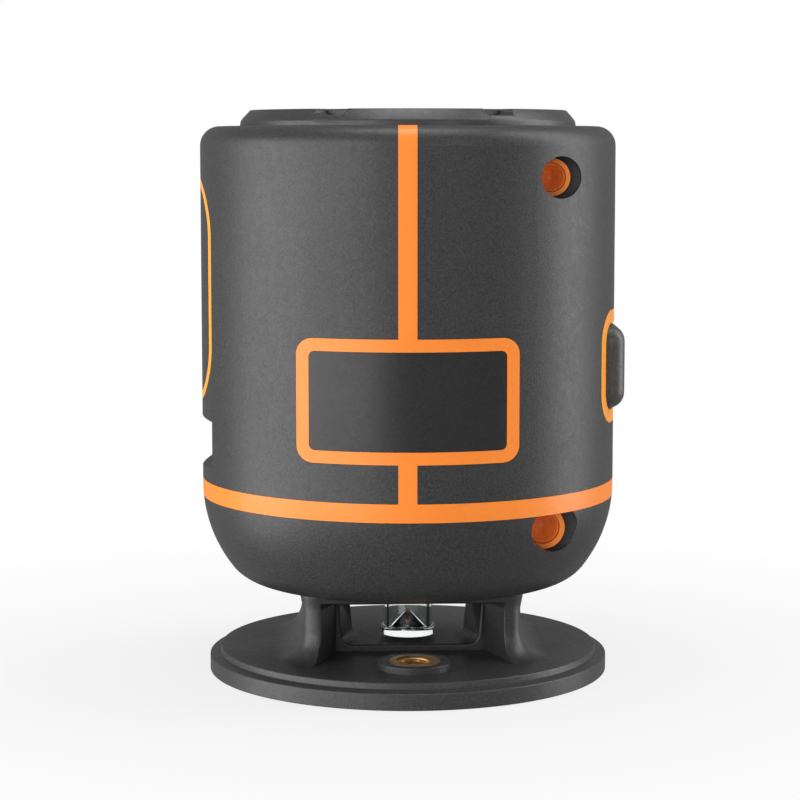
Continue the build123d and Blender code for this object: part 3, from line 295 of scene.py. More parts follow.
finishes = {
    "dark_plastic": mouldedPlastic("darkSkin", {
        "dark": (0.0145, 0.0145, 0.0155), "light": (0.0425, 0.0425, 0.0435), "rough": (0.40, 0.50),
        "grain": 2900.0, "depth": 0.000026}),
    "cap_plastic": mouldedPlastic("capSkin", {
        "dark": (0.016, 0.016, 0.017), "light": (0.041, 0.041, 0.042), "rough": (0.38, 0.46),
        "grain": 2900.0, "depth": 0.000022, "ior": 1.6, "matt": (0.1088, 0.45)}),
    "foot_plastic": mouldedPlastic("footSkin", {
        "dark": (0.0215, 0.0215, 0.0225), "light": (0.049, 0.049, 0.050), "rough": (0.42, 0.50),
        "grain": 2800.0, "depth": 0.000020}),
    "black_plastic": mouldedPlastic("blackInsert", {
        "dark": (0.026, 0.026, 0.027), "light": (0.036, 0.036, 0.037), "rough": (0.36, 0.44),
        "grain": 2600.0, "depth": 0.000005}),
    "orange_plastic": mouldedPlastic("orangeShell", {
        "dark": (0.95, 0.246, 0.021), "light": (1.0, 0.265, 0.025), "rough": (0.36, 0.44),
        "grain": 2600.0, "depth": 0.000004, "dust": 0.0}),
    "rubber": mouldedPlastic("softRubber", {
        "dark": (0.020, 0.020, 0.021), "light": (0.030, 0.030, 0.031), "rough": (0.60, 0.72),
        "grain": 2200.0, "depth": 0.000008}),
    "magnet": turned("nickelMagnet", {
        "dark": (0.55, 0.54, 0.52), "light": (0.66, 0.65, 0.63), "rough": (0.16, 0.28),
        "scale": 500.0, "depth": 0.000001}),
    "steel": turned("zincSteel", {
        "dark": (0.50, 0.50, 0.50), "light": (0.62, 0.62, 0.61), "rough": (0.22, 0.38),
        "scale": 900.0, "depth": 0.000002}),
    "aluminium": turned("turnedAluminium", {
        "dark": (0.60, 0.61, 0.62), "light": (0.74, 0.75, 0.76), "rough": (0.24, 0.40),
        "scale": 900.0, "depth": 0.000002}),
    "brass": turned("turnedBrass", {
        "dark": (0.56, 0.31, 0.12), "light": (0.68, 0.40, 0.16), "rough": (0.34, 0.46),
        "scale": 1100.0, "depth": 0.000002}),
    "clear_glass": clear("clearGlass", {
        "tint": (0.96, 0.99, 0.97), "ior": 1.48, "smear": 120.0, "rough": (0.0, 0.03)}),
    "board": printedBoard("printedBoard", {
        "mask": (0.010, 0.075, 0.040), "copper": (0.03, 0.16, 0.075), "traces": 260.0, "gap": 0.012,
        "smear": 90.0, "rough": (0.28, 0.4), "depth": 0.00002}),
    "cell_wrap": cellWrap("cellWrap", {
        "body": (0.018, 0.019, 0.021), "bodyLight": (0.028, 0.029, 0.032), "band": (0.48, 0.20, 0.06),
        "bandFrom": 0.00725 * 0.013, "grain": 1500.0, "rough": (0.22, 0.32)}),
    "lead_red": mouldedPlastic("leadSleeve", {
        "dark": (0.40, 0.018, 0.014), "light": (0.52, 0.028, 0.020), "rough": (0.38, 0.48),
        "grain": 2600.0, "depth": 0.000003}),
}
print("finishes built:", len(finishes))

ownFinishes = {  # nodes whose surface differs from the rest of their slot
    "housing_screws": mouldedPlastic("orangeLacquer", {
        "dark": (0.98, 0.235, 0.045), "light": (1.0, 0.265, 0.055), "rough": (0.24, 0.32),
        "grain": 2600.0, "depth": 0.000002, "dust": 0.0}),
    "label_panel": mouldedPlastic("labelInlay", {
        "dark": (0.008, 0.008, 0.009), "light": (0.017, 0.017, 0.018), "rough": (0.36, 0.44),
        "grain": 3400.0, "depth": 0.000010}),
    "keypad_bezel": mouldedPlastic("keypadTrim", {
        "dark": (0.95, 0.37, 0.014), "light": (1.0, 0.41, 0.018), "rough": (0.36, 0.44),
        "grain": 2600.0, "depth": 0.000004, "dust": 0.0}),
    "button_bezel": mouldedPlastic("buttonTrim", {
        "dark": (0.95, 0.325, 0.018), "light": (1.0, 0.355, 0.022), "rough": (0.36, 0.44),
        "grain": 2600.0, "depth": 0.000004, "dust": 0.0}),
    "cone_prism": turned("mirrorCone", {
        "dark": (0.80, 0.81, 0.82), "light": (0.90, 0.91, 0.92), "rough": (0.04, 0.10),
        "scale": 700.0, "depth": 0.0000005}),
    "power_button": mouldedPlastic("buttonSkin", {
        "dark": (0.040, 0.040, 0.041), "light": (0.080, 0.080, 0.081), "rough": (0.38, 0.46),
        "grain": 2900.0, "depth": 0.000020}),
}

for nodeName, node in nodes.items():
    slotName = node.material_slots[0].material.name
    node.material_slots[0].material = ownFinishes.get(nodeName, finishes[slotName])
print("finishes on the carried-over nodes")


# Eased pieces: merged copies of the carried-over shapes, with their sharp edges rounded

# Rounding width in mm, its steps and the fold in degrees that is rounded. Edges between the two bare heights,
# inside the bare radius, stay sharp.
eased = {
    "pedestal": {"width": 0.42, "steps": 3, "fold": 25.0, "share": 0.5, "bare": (4.5, 5.6, 32.0)},
    "battery_cap": {"width": 0.2, "steps": 2, "fold": 28.0, "bare": (100.0, 106.2, 40.0),
                    "lean": {"rimZ": 106.77, "rimIn": 0.15, "wallOut": 26.4, "floorZ": 107.65,
                             "wallSlope": 0.25, "first": 2.8, "step": 60.0}},
    "port_flap": {"width": 0.18, "steps": 2, "fold": 40.0,
                  "pull": {"fromEnd": 1.7, "halfY": 0.55, "halfZ": 2.1, "tall": 0.6, "sunk": 0.3,
                           "edge": 0.2}},
    "emitter_glass": {"width": 0.22, "steps": 3, "fold": 40.0},
    "vertical_laser": {"width": 0.16, "steps": 2, "fold": 50.0},
    "gimbal_yoke": {"width": 0.25, "steps": 2, "fold": 50.0},
    "gimbal_ring": {"width": 0.2, "steps": 2, "fold": 50.0},
    "pendulum_frame": {"width": 0.2, "steps": 2, "fold": 50.0},
    "counterweight": {"width": 0.25, "steps": 2, "fold": 40.0},
}
pedestalWindow = {"turn": 3.0, "faceY": 9.0, "sillZ": 6.0, "halfX": 14.1}  # has the full rounding; mm
weldGap = 0.001  # mm
flatFold = 0.002  # radians
shortEdge = 0.06  # mm; shorter edges close up before a piece is rounded


def place(piece, nodeNames, body):
    for nodeName in nodeNames:
        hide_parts(nodeName)
    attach(piece, body)


def plainMesh(piece):  # the evaluated piece as a plain mesh, with no modifier left
    bpy.context.view_layer.update()
    ready = piece.evaluated_get(bpy.context.evaluated_depsgraph_get())
    mesh = bpy.data.meshes.new_from_object(ready)
    piece.modifiers.clear()
    piece.data = mesh
    return mesh


def mergedShape(nodeName, shortest):
    shape = bmesh.new()
    shape.from_mesh(nodes[nodeName].data)
    bmesh.ops.remove_doubles(shape, verts=shape.verts, dist=weldGap * mm)
    bmesh.ops.dissolve_limit(shape, angle_limit=flatFold, verts=shape.verts, edges=shape.edges)
    bmesh.ops.dissolve_degenerate(shape, edges=shape.edges, dist=shortest)
    return shape


def newPiece(name, shape, nodeName):  # a piece that stands for one node, with the node's finish
    mesh = bpy.data.meshes.new(name)
    shape.to_mesh(mesh)
    shape.free()
    mesh.materials.clear()
    mesh.materials.append(nodes[nodeName].material_slots[0].material)
    piece = bpy.data.objects.new(name, mesh)
    bpy.context.collection.objects.link(piece)
    return piece


def onWindow(edge):
    back = Matrix.Rotation(math.radians(-pedestalWindow["turn"]), 3, "Z")
    for vert in edge.verts:
        spot = back @ vert.co / mm
        if abs(abs(spot.y) - pedestalWindow["faceY"]) > planeGap or abs(spot.x) > pedestalWindow["halfX"]:
            return False
        if spot.z < pedestalWindow["sillZ"] - planeGap:
            return False
    return True


padAround = 40


def addPad(shape, middleY, middleZ, halfY, halfZ, baseX, topX, edge):  # small raised pad with round ends, mm
    endRound = min(halfY, halfZ)
    rows = []
    for out, x in ((0.0, baseX), (0.0, topX + edge), (edge * 0.4, topX + edge * 0.3), (edge, topX)):
        row = []
        for k in range(padAround):
            turn = 2 * math.pi * (k + 0.5) / padAround
            y = math.copysign(halfY - endRound, math.cos(turn)) + (endRound - out) * math.cos(turn)
            z = math.copysign(halfZ - endRound, math.sin(turn)) + (endRound - out) * math.sin(turn)
            row.append(shape.verts.new(Vector((x, middleY + y, middleZ + z)) * mm))
        rows.append(row)
    for row, following in zip(rows, rows[1:]):
        for k in range(padAround):
            shape.faces.new((row[k], row[k - 1], following[k - 1], following[k]))
    shape.faces.new(rows[0])
    shape.faces.new(rows[-1][::-1])


def addPull(shape, nodeName, look):  # finger ridge near the flap's free end
    low, high = (Vector(corner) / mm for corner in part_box(nodeName))
    middleY, middleZ = low.y + look["fromEnd"], (low.z + high.z) / 2
    baseX, topX = low.x + look["sunk"], low.x - look["tall"]
    addPad(shape, middleY, middleZ, look["halfY"], look["halfZ"], baseX, topX, look["edge"])


def leanBack(shape, look):  # the cap's rim strip and the far walls of its pockets lean back a little
    for vert in shape.verts:
        x, y, z = vert.co / mm
        turn = math.degrees(math.atan2(y, x))
        pocket = look["first"] + look["step"] * round((turn - look["first"]) / look["step"])
        out = math.hypot(x, y) * math.cos(math.radians(turn - pocket))
        if abs(z - look["rimZ"]) < planeGap and math.hypot(x, y) > look["wallOut"]:
            vert.co.xy *= 1.0 - look["rimIn"] / math.hypot(x, y)
        elif abs(out - look["wallOut"]) < planeGap and z > look["floorZ"]:
            back = look["wallSlope"] * (z - look["floorZ"]) * mm
            outward = Vector((math.cos(math.radians(pocket)), math.sin(math.radians(pocket))))
            vert.co.xy -= outward * back


def makeEased(nodeName, look):
    shape = mergedShape(nodeName, shortEdge * mm)
    if "lean" in look:
        leanBack(shape, look["lean"])
    weights = shape.edges.layers.float.new("bevel_weight_edge")
    share = look.get("share", 1.0)
    bareLow, bareHigh, bareOut = look.get("bare", (0.0, 0.0, 0.0))
    bmesh.ops.recalc_face_normals(shape, faces=shape.faces)
    for edge in shape.edges:
        if len(edge.link_faces) != 2 or edge.calc_face_angle() < math.radians(look["fold"]):
            continue
        lowest = min((vert.co / mm for vert in edge.verts), key=lambda spot: spot.z)
        bare = bareLow < lowest.z < bareHigh and lowest.xy.length < bareOut
        if edge.is_convex and not bare:
            edge[weights] = 1.0 if onWindow(edge) else share
        else:
            edge.smooth = False
    if "pull" in look:
        addPull(shape, nodeName, look["pull"])
    piece = newPiece(nodeName + "Eased", shape, nodeName)
    piece.data.shade_smooth()
    soften = piece.modifiers.new("soften", "BEVEL")
    soften.width = look["width"] * mm
    soften.segments = look["steps"]
    soften.limit_method = "WEIGHT"
    soften.use_clamp_overlap = False
    soften.harden_normals = True
    level = piece.modifiers.new("level", "WEIGHTED_NORMAL")
    level.keep_sharp = True
    plainMesh(piece)
    place(piece, [nodeName], nodes[nodeName]["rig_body"])
    return piece


for easedName, easedLook in eased.items():
    easedPiece = makeEased(easedName, easedLook)
    print("eased", easedName, len(easedPiece.data.polygons), "faces")


# Tripod insert: turned brass ring with the inch thread inside

tripodInsert = {"pitch": 1.27, "major": 3.175, "minor": 2.62, "entry": 0.32, "edge": 0.12,
                "flange": 0.5, "body": 4.3, "around": 96, "perPitch": 8, "crest": 0.125, "runOut": 0.6,
                "crease": 28.0}


def insertLoop(turn, low, top, ring):  # radius and height once round the wall, in mm
    look = tripodInsert
    tall = top - low - 2 * look["entry"]
    count = int(tall / look["pitch"] * look["perPitch"])
    loop = []
    for k in range(count + 1):
        height = low + look["entry"] + tall * k / count
        phase = (height / look["pitch"] - turn) % 1.0
        rise = 1.0 - abs(2 * phase - 1.0) - look["crest"]
        ridge = min(max(rise / (1.0 - 2 * look["crest"]), 0.0), 1.0)
        fade = min(min(k, count - k) / (look["runOut"] * look["perPitch"]), 1.0)
        loop.append((look["major"] - (look["major"] - look["minor"]) * ridge * fade, height))
    mouth = look["major"] + look["entry"]
    edge = look["edge"]
    body = look["body"]
    under = top - look["flange"]
    loop += [(mouth, top), (ring - edge, top), (ring, top - edge), (ring, under)]
    loop += [(body, under), (body, low + edge), (body - edge, low), (mouth, low)]
    return loop


def makeTripodInsert():
    low, high = (Vector(corner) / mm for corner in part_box("tripod_insert"))
    middle = (low + high) / 2
    shape = bmesh.new()
    rows = []
    for k in range(tripodInsert["around"]):
        turn = k / tripodInsert["around"]
        side = Vector((math.cos(2 * math.pi * turn), math.sin(2 * math.pi * turn), 0.0))
        row = []
        for radius, height in insertLoop(turn, low.z, high.z, (high.x - low.x) / 2):
            row.append(shape.verts.new((Vector((middle.x, middle.y, height)) + side * radius) * mm))
        rows.append(row)
    for row, following in zip(rows, rows[1:] + rows[:1]):
        for j in range(len(row)):
            step = (j + 1) % len(row)
            shape.faces.new((row[j], following[j], following[step], row[step]))
    bmesh.ops.recalc_face_normals(shape, faces=shape.faces)
    piece = newPiece("threadedInsert", shape, "tripod_insert")
    piece.data.shade_smooth()
    piece.data.set_sharp_from_angle(angle=math.radians(tripodInsert["crease"]))
    place(piece, ["tripod_insert"], nodes["tripod_insert"]["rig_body"])
    print("threaded insert", len(piece.data.polygons), "faces")


makeTripodInsert()


# Screws: one threaded template with a cross recess for each node, placed on its spots by nodes

# Where the heads face; sizes in mm, cross is half width, half length and depth. The housing screws lie under
# a hollow lacquer seal: rise is its height above the head, wider its share of the head's radius.
screwSets = {
    "housing_screws": {"faces": (0, -1, 0), "tall": 2.2, "shank": 1.25, "cross": (0.34, 1.25, 0.1),
                       "dish": 2.1, "wider": 1.068, "rise": 1.6},
    "board_screws": {"faces": (0, 1, 0), "tall": 1.5, "shank": 1.1, "cross": (0.26, 1.1, 0.6)},
    "yoke_screws": {"faces": (0, 0, -1), "tall": 1.5, "shank": 1.1, "cross": (0.26, 1.1, 0.6)},
    "retainer_screws": {"faces": (0, 0, 1), "tall": 0.5, "shank": 0.6, "cross": (0.16, 0.7, 0.25)},
}
screwForm = {"around": 48, "rings": 12, "rim": 0.88, "edge": 0.08, "pitch": 0.4, "ridge": 0.18, "perPitch": 4,
             "tip": 1.0, "point": 0.3, "fadeRows": 4, "crease": 40.0}


def screwRows(look, head, long):  # radius, depth under the head's top and thread share of each row, in mm
    form = screwForm
    edge = form["edge"] * head
    top = -look.get("rise", 0.0)
    dish = look.get("dish", 0.0)
    rows = []
    for k in range(1, form["rings"] + 1):
        share = k / form["rings"]
        rows.append((form["rim"] * head * share, top + dish * (1.0 - share ** 2), 0.0))
    rows += [(head - edge, top, 0.0), (head - 0.3 * edge, top + 0.3 * edge, 0.0), (head, top + edge, 0.0)]
    rows += [(head, look["tall"], 0.0), (look["shank"], look["tall"], 0.0)]
    thread = long - look["tall"] - form["tip"] * look["shank"]
    count = max(int(thread / (form["pitch"] * look["shank"]) * form["perPitch"]), form["fadeRows"])
    for k in range(1, count + 1):
        fade = min(1.0, k / form["fadeRows"], (count - k) / form["fadeRows"])
        rows.append((look["shank"], look["tall"] + thread * k / count, fade))
    return rows + [(form["point"] * look["shank"], long, 0.0)]


def makeTemplate(look, head, long):  # screw with its head's top at the origin
    form = screwForm
    out = Vector(look["faces"])
    side = Vector((1.0, 0.0, 0.0))
    up = out.cross(side)
    wide, reach, deep = look["cross"]
    shape = bmesh.new()
    rows = []
    for number, (radius, depth, thread) in enumerate(screwRows(look, head, long)):
        row = []
        for k in range(form["around"]):
            turn = k / form["around"]
            a, b = math.cos(2 * math.pi * turn), math.sin(2 * math.pi * turn)
            wave = abs(2.0 * ((depth / (form["pitch"] * look["shank"]) - turn) % 1.0) - 1.0)
            now = radius * (1.0 - form["ridge"] * thread * wave)
            near, far = sorted((abs(now * a), abs(now * b)))
            sunk = deep if number < form["rings"] and near < wide and far < reach else 0.0
            row.append(shape.verts.new((side * now * a + up * now * b - out * (depth + sunk)) * mm))
        rows.append(row)
    for row, following in zip(rows, rows[1:]):
        for k in range(form["around"]):
            shape.faces.new((row[k - 1], row[k], following[k], following[k - 1]))
    shape.faces.new(rows[0])
    shape.faces.new(rows[-1])
    bmesh.ops.recalc_face_normals(shape, faces=shape.faces)
    mesh = bpy.data.meshes.new("screwTemplate")
    shape.to_mesh(mesh)
    shape.free()
    template = bpy.data.objects.new("screwTemplate", mesh)
    bpy.context.collection.objects.link(template)
    return template


def makeScrewTree():
    tree = bpy.data.node_groups.new("placedScrews", "GeometryNodeTree")
    for label, kind in (("Spots", "Geometry"), ("Screw", "Object"), ("Finish", "Material")):
        tree.interface.new_socket(name=label, in_out="INPUT", socket_type="NodeSocket" + kind)
    tree.interface.new_socket(name="Screws", in_out="OUTPUT", socket_type="NodeSocketGeometry")
    start = tree.nodes.new("NodeGroupInput").outputs
    end = tree.nodes.new("NodeGroupOutput")
    source = tree.nodes.new("GeometryNodeObjectInfo")
    tree.links.new(start["Screw"], source.inputs["Object"])
    stretch = tree.nodes.new("GeometryNodeInputNamedAttribute")
    stretch.data_type = "FLOAT_VECTOR"
    stretch.inputs["Name"].default_value = "stretch"
    copies = tree.nodes.new("GeometryNodeInstanceOnPoints")
    tree.links.new(start["Spots"], copies.inputs["Points"])
    tree.links.new(source.outputs["Geometry"], copies.inputs["Instance"])
    tree.links.new(stretch.outputs["Attribute"], copies.inputs["Scale"])
    whole = tree.nodes.new("GeometryNodeRealizeInstances")
    tree.links.new(copies.outputs["Instances"], whole.inputs["Geometry"])
    paint = tree.nodes.new("GeometryNodeSetMaterial")
    tree.links.new(start["Finish"], paint.inputs["Material"])
    tree.links.new(whole.outputs["Geometry"], paint.inputs["Geometry"])
    tree.links.new(paint.outputs["Geometry"], end.inputs["Screws"])
    return tree


def solidBoxes(nodeName):  # low and high corner of each separate solid of a node, in mm
    shape = mergedShape(nodeName, weldGap * mm)
    left = set(shape.verts)
    boxes = []
    while left:
        front = [left.pop()]
        spots = []
        while front:
            vert = front.pop()
            spots.append(vert.co / mm)
            near = {edge.other_vert(vert) for edge in vert.link_edges} & left
            left -= near
            front += near
        boxes.append([[pick(spot[axis] for spot in spots) for axis in range(3)] for pick in (min, max)])
    shape.free()
    return sorted(boxes)


def makeScrews(nodeName, look, tree):
    axis = [abs(step) for step in look["faces"]].index(1)
    across = (axis + 1) % 3
    boxes = solidBoxes(nodeName)
    heads = [(high[across] - low[across]) / 2 for low, high in boxes]
    headOut = look.get("wider", 1.0) * min(heads)
    template = makeTemplate(look, headOut, boxes[0][1][axis] - boxes[0][0][axis])
    spots = []
    stretches = []
    for (low, high), head in zip(boxes, heads):
        spot = [(a + b) / 2 for a, b in zip(low, high)]
        spot[axis] = high[axis] if sum(look["faces"]) > 0 else low[axis]
        spots.append(Vector(spot) * mm)
        stretches += [1.0 if k == axis else head / min(heads) for k in range(3)]
    mesh = bpy.data.meshes.new(nodeName + "Turned")
    mesh.from_pydata(spots, [], [])
    mesh.attributes.new("stretch", "FLOAT_VECTOR", "POINT").data.foreach_set("vector", stretches)
    piece = bpy.data.objects.new(nodeName + "Turned", mesh)
    bpy.context.collection.objects.link(piece)
    placed = piece.modifiers.new("placed", "NODES")
    placed.node_group = tree
    sockets = {item.name: item.identifier for item in tree.interface.items_tree if item.in_out == "INPUT"}
    placed[sockets["Screw"]] = template
    placed[sockets["Finish"]] = nodes[nodeName].material_slots[0].material
    mesh = plainMesh(piece)
    bpy.data.objects.remove(template)
    mesh.shade_smooth()
    mesh.set_sharp_from_angle(angle=math.radians(screwForm["crease"]))
    place(piece, [nodeName], nodes[nodeName]["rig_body"])
    print("screws", nodeName, len(spots), "with", len(mesh.polygons), "faces")


screwTree = makeScrewTree()
for screwName, screwLook in screwSets.items():
    makeScrews(screwName, screwLook, screwTree)


# Keys: dished faces that follow the drum, each with a raised generic mark

padKeys = {  # mm; rings are radius and drop of the rounded rim, marks half sizes in Y and Z
    "dish": 0.40, "dishOut": 3.1, "stem": 4.0, "flange": 0.7, "around": 64, "crease": 40.0,
    "rings": [(0.0, 0.0), (0.9, 0.0), (1.8, 0.0), (2.5, 0.0), (3.1, 0.0), (3.55, 0.0),
              (3.8, 0.07), (3.94, 0.2), (4.0, 0.4)],
    "markTall": 0.26, "markSunk": 0.2, "markEdge": 0.14,
    "marks": {"key_upper": (0.32, 1.7), "key_middle": (1.7, 0.32), "key_lower": (0.75, 0.75)},
}


def makeKey(nodeName):
    look = padKeys
    low, high = (Vector(corner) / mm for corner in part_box(nodeName))
    middleZ = (low.z + high.z) / 2
    drum = -low.x
    flangeOut = (high.z - low.z) / 2
    flangeX = high.x - look["flange"]
    turns = [2 * math.pi * k / look["around"] for k in range(look["around"])]
    shape = bmesh.new()
    points = []
    for radius, drop in look["rings"]:
        sunk = look["dish"] * max(1.0 - (radius / look["dishOut"]) ** 2, 0.0) + drop
        ring = []
        for turn in turns:
            y = radius * math.cos(turn)
            ring.append((sunk - math.sqrt(drum ** 2 - y ** 2), y, middleZ + radius * math.sin(turn)))
        points.append(ring)
    for radius, x in ((look["stem"], flangeX), (flangeOut, flangeX), (flangeOut, high.x)):
        points.append([(x, radius * math.cos(turn), middleZ + radius * math.sin(turn)) for turn in turns])
    rings = [[shape.verts.new(Vector(point) * mm) for point in ring] for ring in points]
    for ring, following in zip(rings, rings[1:]):
        for k in range(look["around"]):
            shape.faces.new((ring[k - 1], ring[k], following[k], following[k - 1]))
    shape.faces.new(rings[-1])
    bmesh.ops.remove_doubles(shape, verts=shape.verts, dist=weldGap * mm)
    halfY, halfZ = look["marks"][nodeName]
    floorX = look["dish"] - drum
    baseX, topX = floorX + look["markSunk"], floorX - look["markTall"]
    addPad(shape, 0.0, middleZ, halfY, halfZ, baseX, topX, look["markEdge"])
    bmesh.ops.recalc_face_normals(shape, faces=shape.faces)
    piece = newPiece(nodeName + "Dished", shape, nodeName)
    piece.data.shade_smooth()
    piece.data.set_sharp_from_angle(angle=math.radians(look["crease"]))
    place(piece, [nodeName], nodes[nodeName]["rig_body"])
    print("key", nodeName, len(piece.data.polygons), "faces")


for keyName in padKeys["marks"]:
    makeKey(keyName)


# Foot pad: rubber disc with round ribs that stand on the floor

padRibs = {"bands": [(9.0, 5), (30.4, 4)],  # first radius in mm and count of each band
           "step": 1.5, "wide": 0.8, "narrow": 0.5, "tall": 0.4, "bare": 0.9, "around": 160, "crease": 30.0,
           "weld": 0.01}


def ribTree(finish):
    tree = bpy.data.node_groups.new("roundRibs", "GeometryNodeTree")
    tree.interface.new_socket(name="Geometry", in_out="INPUT", socket_type="NodeSocketGeometry")
    for label, kind in (("First Radius", "Float"), ("Step", "Float"), ("Count", "Int"), ("Wide", "Float"),
                        ("Narrow", "Float"), ("Tall", "Float"), ("Around", "Int")):
        tree.interface.new_socket(name=label, in_out="INPUT", socket_type="NodeSocket" + kind)
    tree.interface.new_socket(name="Geometry", in_out="OUTPUT", socket_type="NodeSocketGeometry")
    start = tree.nodes.new("NodeGroupInput").outputs
    end = tree.nodes.new("NodeGroupOutput")
    spots = tree.nodes.new("GeometryNodeMeshLine")
    spots.inputs["Offset"].default_value = (0.0, 0.0, 0.0)
    tree.links.new(start["Count"], spots.inputs["Count"])
    number = tree.nodes.new("GeometryNodeInputIndex").outputs["Index"]
    radius = mathNode(tree, "ADD", mathNode(tree, "MULTIPLY", number, start["Step"]), start["First Radius"])
    size = tree.nodes.new("ShaderNodeCombineXYZ")
    for axis in ("X", "Y", "Z"):
        tree.links.new(radius, size.inputs[axis])
    circle = tree.nodes.new("GeometryNodeCurvePrimitiveCircle")
    circle.inputs["Radius"].default_value = 1.0
    tree.links.new(start["Around"], circle.inputs["Resolution"])
    copies = tree.nodes.new("GeometryNodeInstanceOnPoints")
    tree.links.new(spots.outputs["Mesh"], copies.inputs["Points"])
    tree.links.new(circle.outputs["Curve"], copies.inputs["Instance"])
    tree.links.new(size.outputs["Vector"], copies.inputs["Scale"])
    paths = tree.nodes.new("GeometryNodeRealizeInstances")
    tree.links.new(copies.outputs["Instances"], paths.inputs["Geometry"])
    section = tree.nodes.new("GeometryNodeCurvePrimitiveQuadrilateral")
    section.mode = "TRAPEZOID"
    tree.links.new(start["Tall"], section.inputs["Height"])
    tree.links.new(start["Wide"], section.inputs["Bottom Width"])
    tree.links.new(start["Narrow"], section.inputs["Top Width"])
    section.inputs["Offset"].default_value = 0.0
    swept = tree.nodes.new("GeometryNodeCurveToMesh")
    tree.links.new(paths.outputs["Geometry"], swept.inputs["Curve"])
    tree.links.new(section.outputs["Curve"], swept.inputs["Profile Curve"])
    whole = tree.nodes.new("GeometryNodeRealizeInstances")
    tree.links.new(swept.outputs["Mesh"], whole.inputs["Geometry"])
    paint = tree.nodes.new("GeometryNodeSetMaterial")
    paint.inputs["Material"].default_value = finish
    tree.links.new(whole.outputs["Geometry"], paint.inputs["Geometry"])
    tree.links.new(paint.outputs["Geometry"], end.inputs["Geometry"])
    return tree


def makeFootPad():
    look = padRibs
    finish = nodes["foot_pad"].material_slots[0].material
    tree = ribTree(finish)
    sockets = {item.name: item.identifier for item in tree.interface.items_tree if item.in_out == "INPUT"}
    pad = mergedShape("foot_pad", look["weld"] * mm)
    for vert in pad.verts:
        if vert.co.z < look["weld"] * mm:
            vert.co.z = look["tall"] * look["bare"] * mm
    for firstRadius, count in look["bands"]:
        maker = bpy.data.objects.new("ribMaker", bpy.data.meshes.new("ribMaker"))
        bpy.context.collection.objects.link(maker)
        sweep = maker.modifiers.new("ribs", "NODES")
        sweep.node_group = tree
        lengths = {"First Radius": firstRadius, "Step": look["step"], "Wide": look["wide"],
                   "Narrow": look["narrow"], "Tall": look["tall"]}
        for label, length in lengths.items():
            sweep[sockets[label]] = length * mm
        sweep[sockets["Count"]] = count
        sweep[sockets["Around"]] = look["around"]
        mesh = plainMesh(maker)
        lowest = min(vert.co.z for vert in mesh.vertices)
        mesh.transform(Matrix.Translation((0.0, 0.0, -lowest)))
        pad.from_mesh(mesh)
        bpy.data.objects.remove(maker)
    bmesh.ops.recalc_face_normals(pad, faces=pad.faces)
    piece = newPiece("ribbedFootPad", pad, "foot_pad")
    piece.data.shade_smooth()
    piece.data.set_sharp_from_angle(angle=math.radians(look["crease"]))
    place(piece, ["foot_pad"], nodes["foot_pad"]["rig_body"])
    print("ribbed foot pad", len(piece.data.polygons), "faces")


makeFootPad()


# Studio: pale floor, soft boxes, camera

studio = {
    "ambient": 0.27,
    "mirrorShare": 0.05,
    "aim": (0.0, 0.0, 0.06),
    "floor": {"radius": 3.0, "around": 96, "grey": 0.55, "rough": 0.9, "fadeFrom": 0.05, "fadeTo": 0.16,
              "shade": 0.80},
    "boxes": [
        # name, bearing from the label side in degrees, distance, height, width, tall, brightness
        ("leftBox", -82.0, 0.95, 0.02, 0.66, 1.00, 3.4),
        ("fillBox", -40.0, 1.25, 0.20, 1.20, 1.20, 2.6),
        ("rightBox", 97.0, 0.90, 0.40, 0.54, 1.50, 3.75),
        ("topBox", 0.0, 0.05, 1.15, 0.60, 0.60, 4.2),
        ("frontBox", 24.0, 1.30, 0.45, 0.30, 0.30, 5.0),
    ],
}


def whiteForSight(tree, share):  # camera and glass rays in full, mirror rays in part
    path = tree.nodes.new("ShaderNodeLightPath")
    mirror = mathNode(tree, "MULTIPLY", path.outputs["Is Glossy Ray"], share)
    seen = mathNode(tree, "ADD", path.outputs["Is Camera Ray"], path.outputs["Is Transmission Ray"])
    return mathNode(tree, "ADD", seen, mirror, True)


def makeWorld():
    world = bpy.data.worlds.new("studio")
    bpy.context.scene.world = world
    world.use_nodes = True
    tree = world.node_tree
    back = tree.nodes["Background"]
    grey = studio["ambient"]
    colour = twoTone(tree, whiteForSight(tree, studio["mirrorShare"]), (grey, grey, grey), (1.0, 1.0, 1.0))
    tree.links.new(colour, back.inputs["Color"])


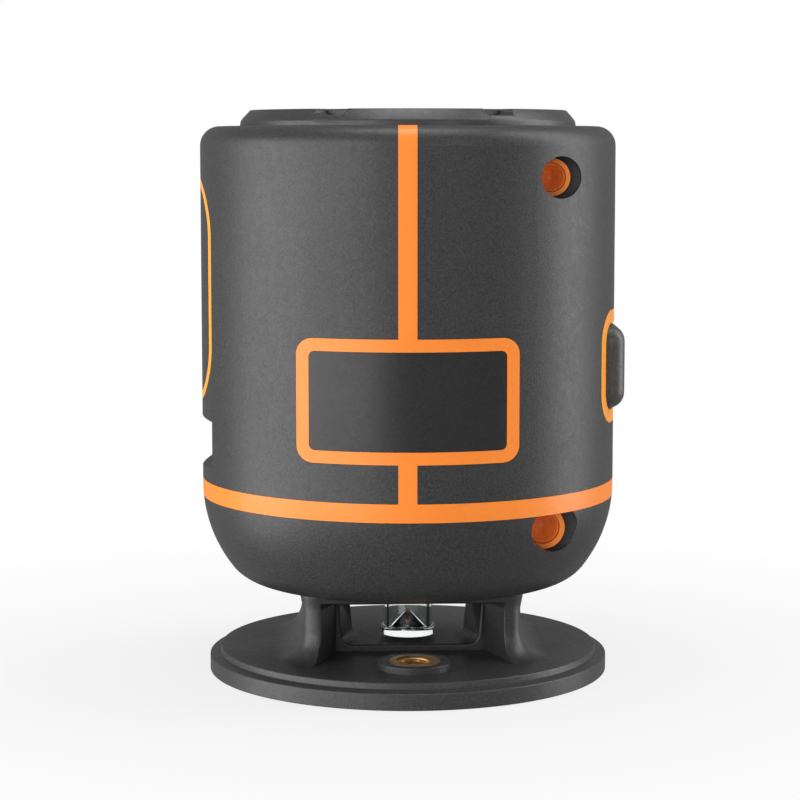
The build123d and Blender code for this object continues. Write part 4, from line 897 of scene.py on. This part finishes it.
def makeFloor():
    look = studio["floor"]
    mesh = bpy.data.meshes.new("floor")
    shape = bmesh.new()
    bmesh.ops.create_circle(shape, cap_ends=True, segments=look["around"], radius=look["radius"])
    shape.to_mesh(mesh)
    shape.free()
    floor = bpy.data.objects.new("floor", mesh)
    bpy.context.collection.objects.link(floor)
    finish, tree, shader = newFinish("paleFloor")
    shader.inputs["Base Color"].default_value = (look["grey"], look["grey"], look["grey"], 1.0)
    shader.inputs["Roughness"].default_value = look["rough"]
    glow = tree.nodes.new("ShaderNodeEmission")
    coord = tree.nodes.new("ShaderNodeTexCoord")
    away = tree.nodes.new("ShaderNodeVectorMath")
    away.operation = "LENGTH"
    tree.links.new(coord.outputs["Object"], away.inputs[0])
    fade = rangeNode(tree, away.outputs["Value"], look["fadeFrom"], look["fadeTo"], look["shade"], 1.0)
    white = whiteForSight(tree, studio["mirrorShare"])
    blend = tree.nodes.new("ShaderNodeMixShader")
    tree.links.new(mathNode(tree, "MULTIPLY", fade, white), blend.inputs[0])
    tree.links.new(shader.outputs["BSDF"], blend.inputs[1])
    tree.links.new(glow.outputs["Emission"], blend.inputs[2])
    tree.links.new(blend.outputs["Shader"], tree.nodes["Material Output"].inputs["Surface"])
    mesh.materials.append(finish)
    floor.visible_glossy = False
    floor.visible_shadow = False


def makeLights():
    for name, bearing, away, height, width, tall, bright in studio["boxes"]:
        data = bpy.data.lights.new(name, "AREA")
        data.shape = "RECTANGLE"
        data.size = width
        data.size_y = tall
        data.energy = bright * math.pi * width * tall
        light = bpy.data.objects.new(name, data)
        turn = math.radians(bearing)
        light.location = (away * math.sin(turn), -away * math.cos(turn), height)
        look = Vector(studio["aim"]) - light.location
        light.rotation_euler = look.to_track_quat("-Z", "Y").to_euler()
        bpy.context.collection.objects.link(light)


cameraView = {"place": (0.0, -0.4561, 0.10277), "pitch": 6.268, "lens": 105.63, "shift": -0.0098}


def makeCamera():
    data = bpy.data.cameras.new("camera")
    data.sensor_width = 36.0
    data.lens = cameraView["lens"]
    data.shift_x = cameraView["shift"]
    camera = bpy.data.objects.new("camera", data)
    camera.location = cameraView["place"]
    camera.rotation_euler = (math.radians(90.0 - cameraView["pitch"]), 0.0, 0.0)
    bpy.context.collection.objects.link(camera)
    bpy.context.scene.camera = camera


makeWorld()
makeFloor()
makeLights()
makeCamera()
bpy.context.scene.view_settings.view_transform = "Standard"
print("studio ready")
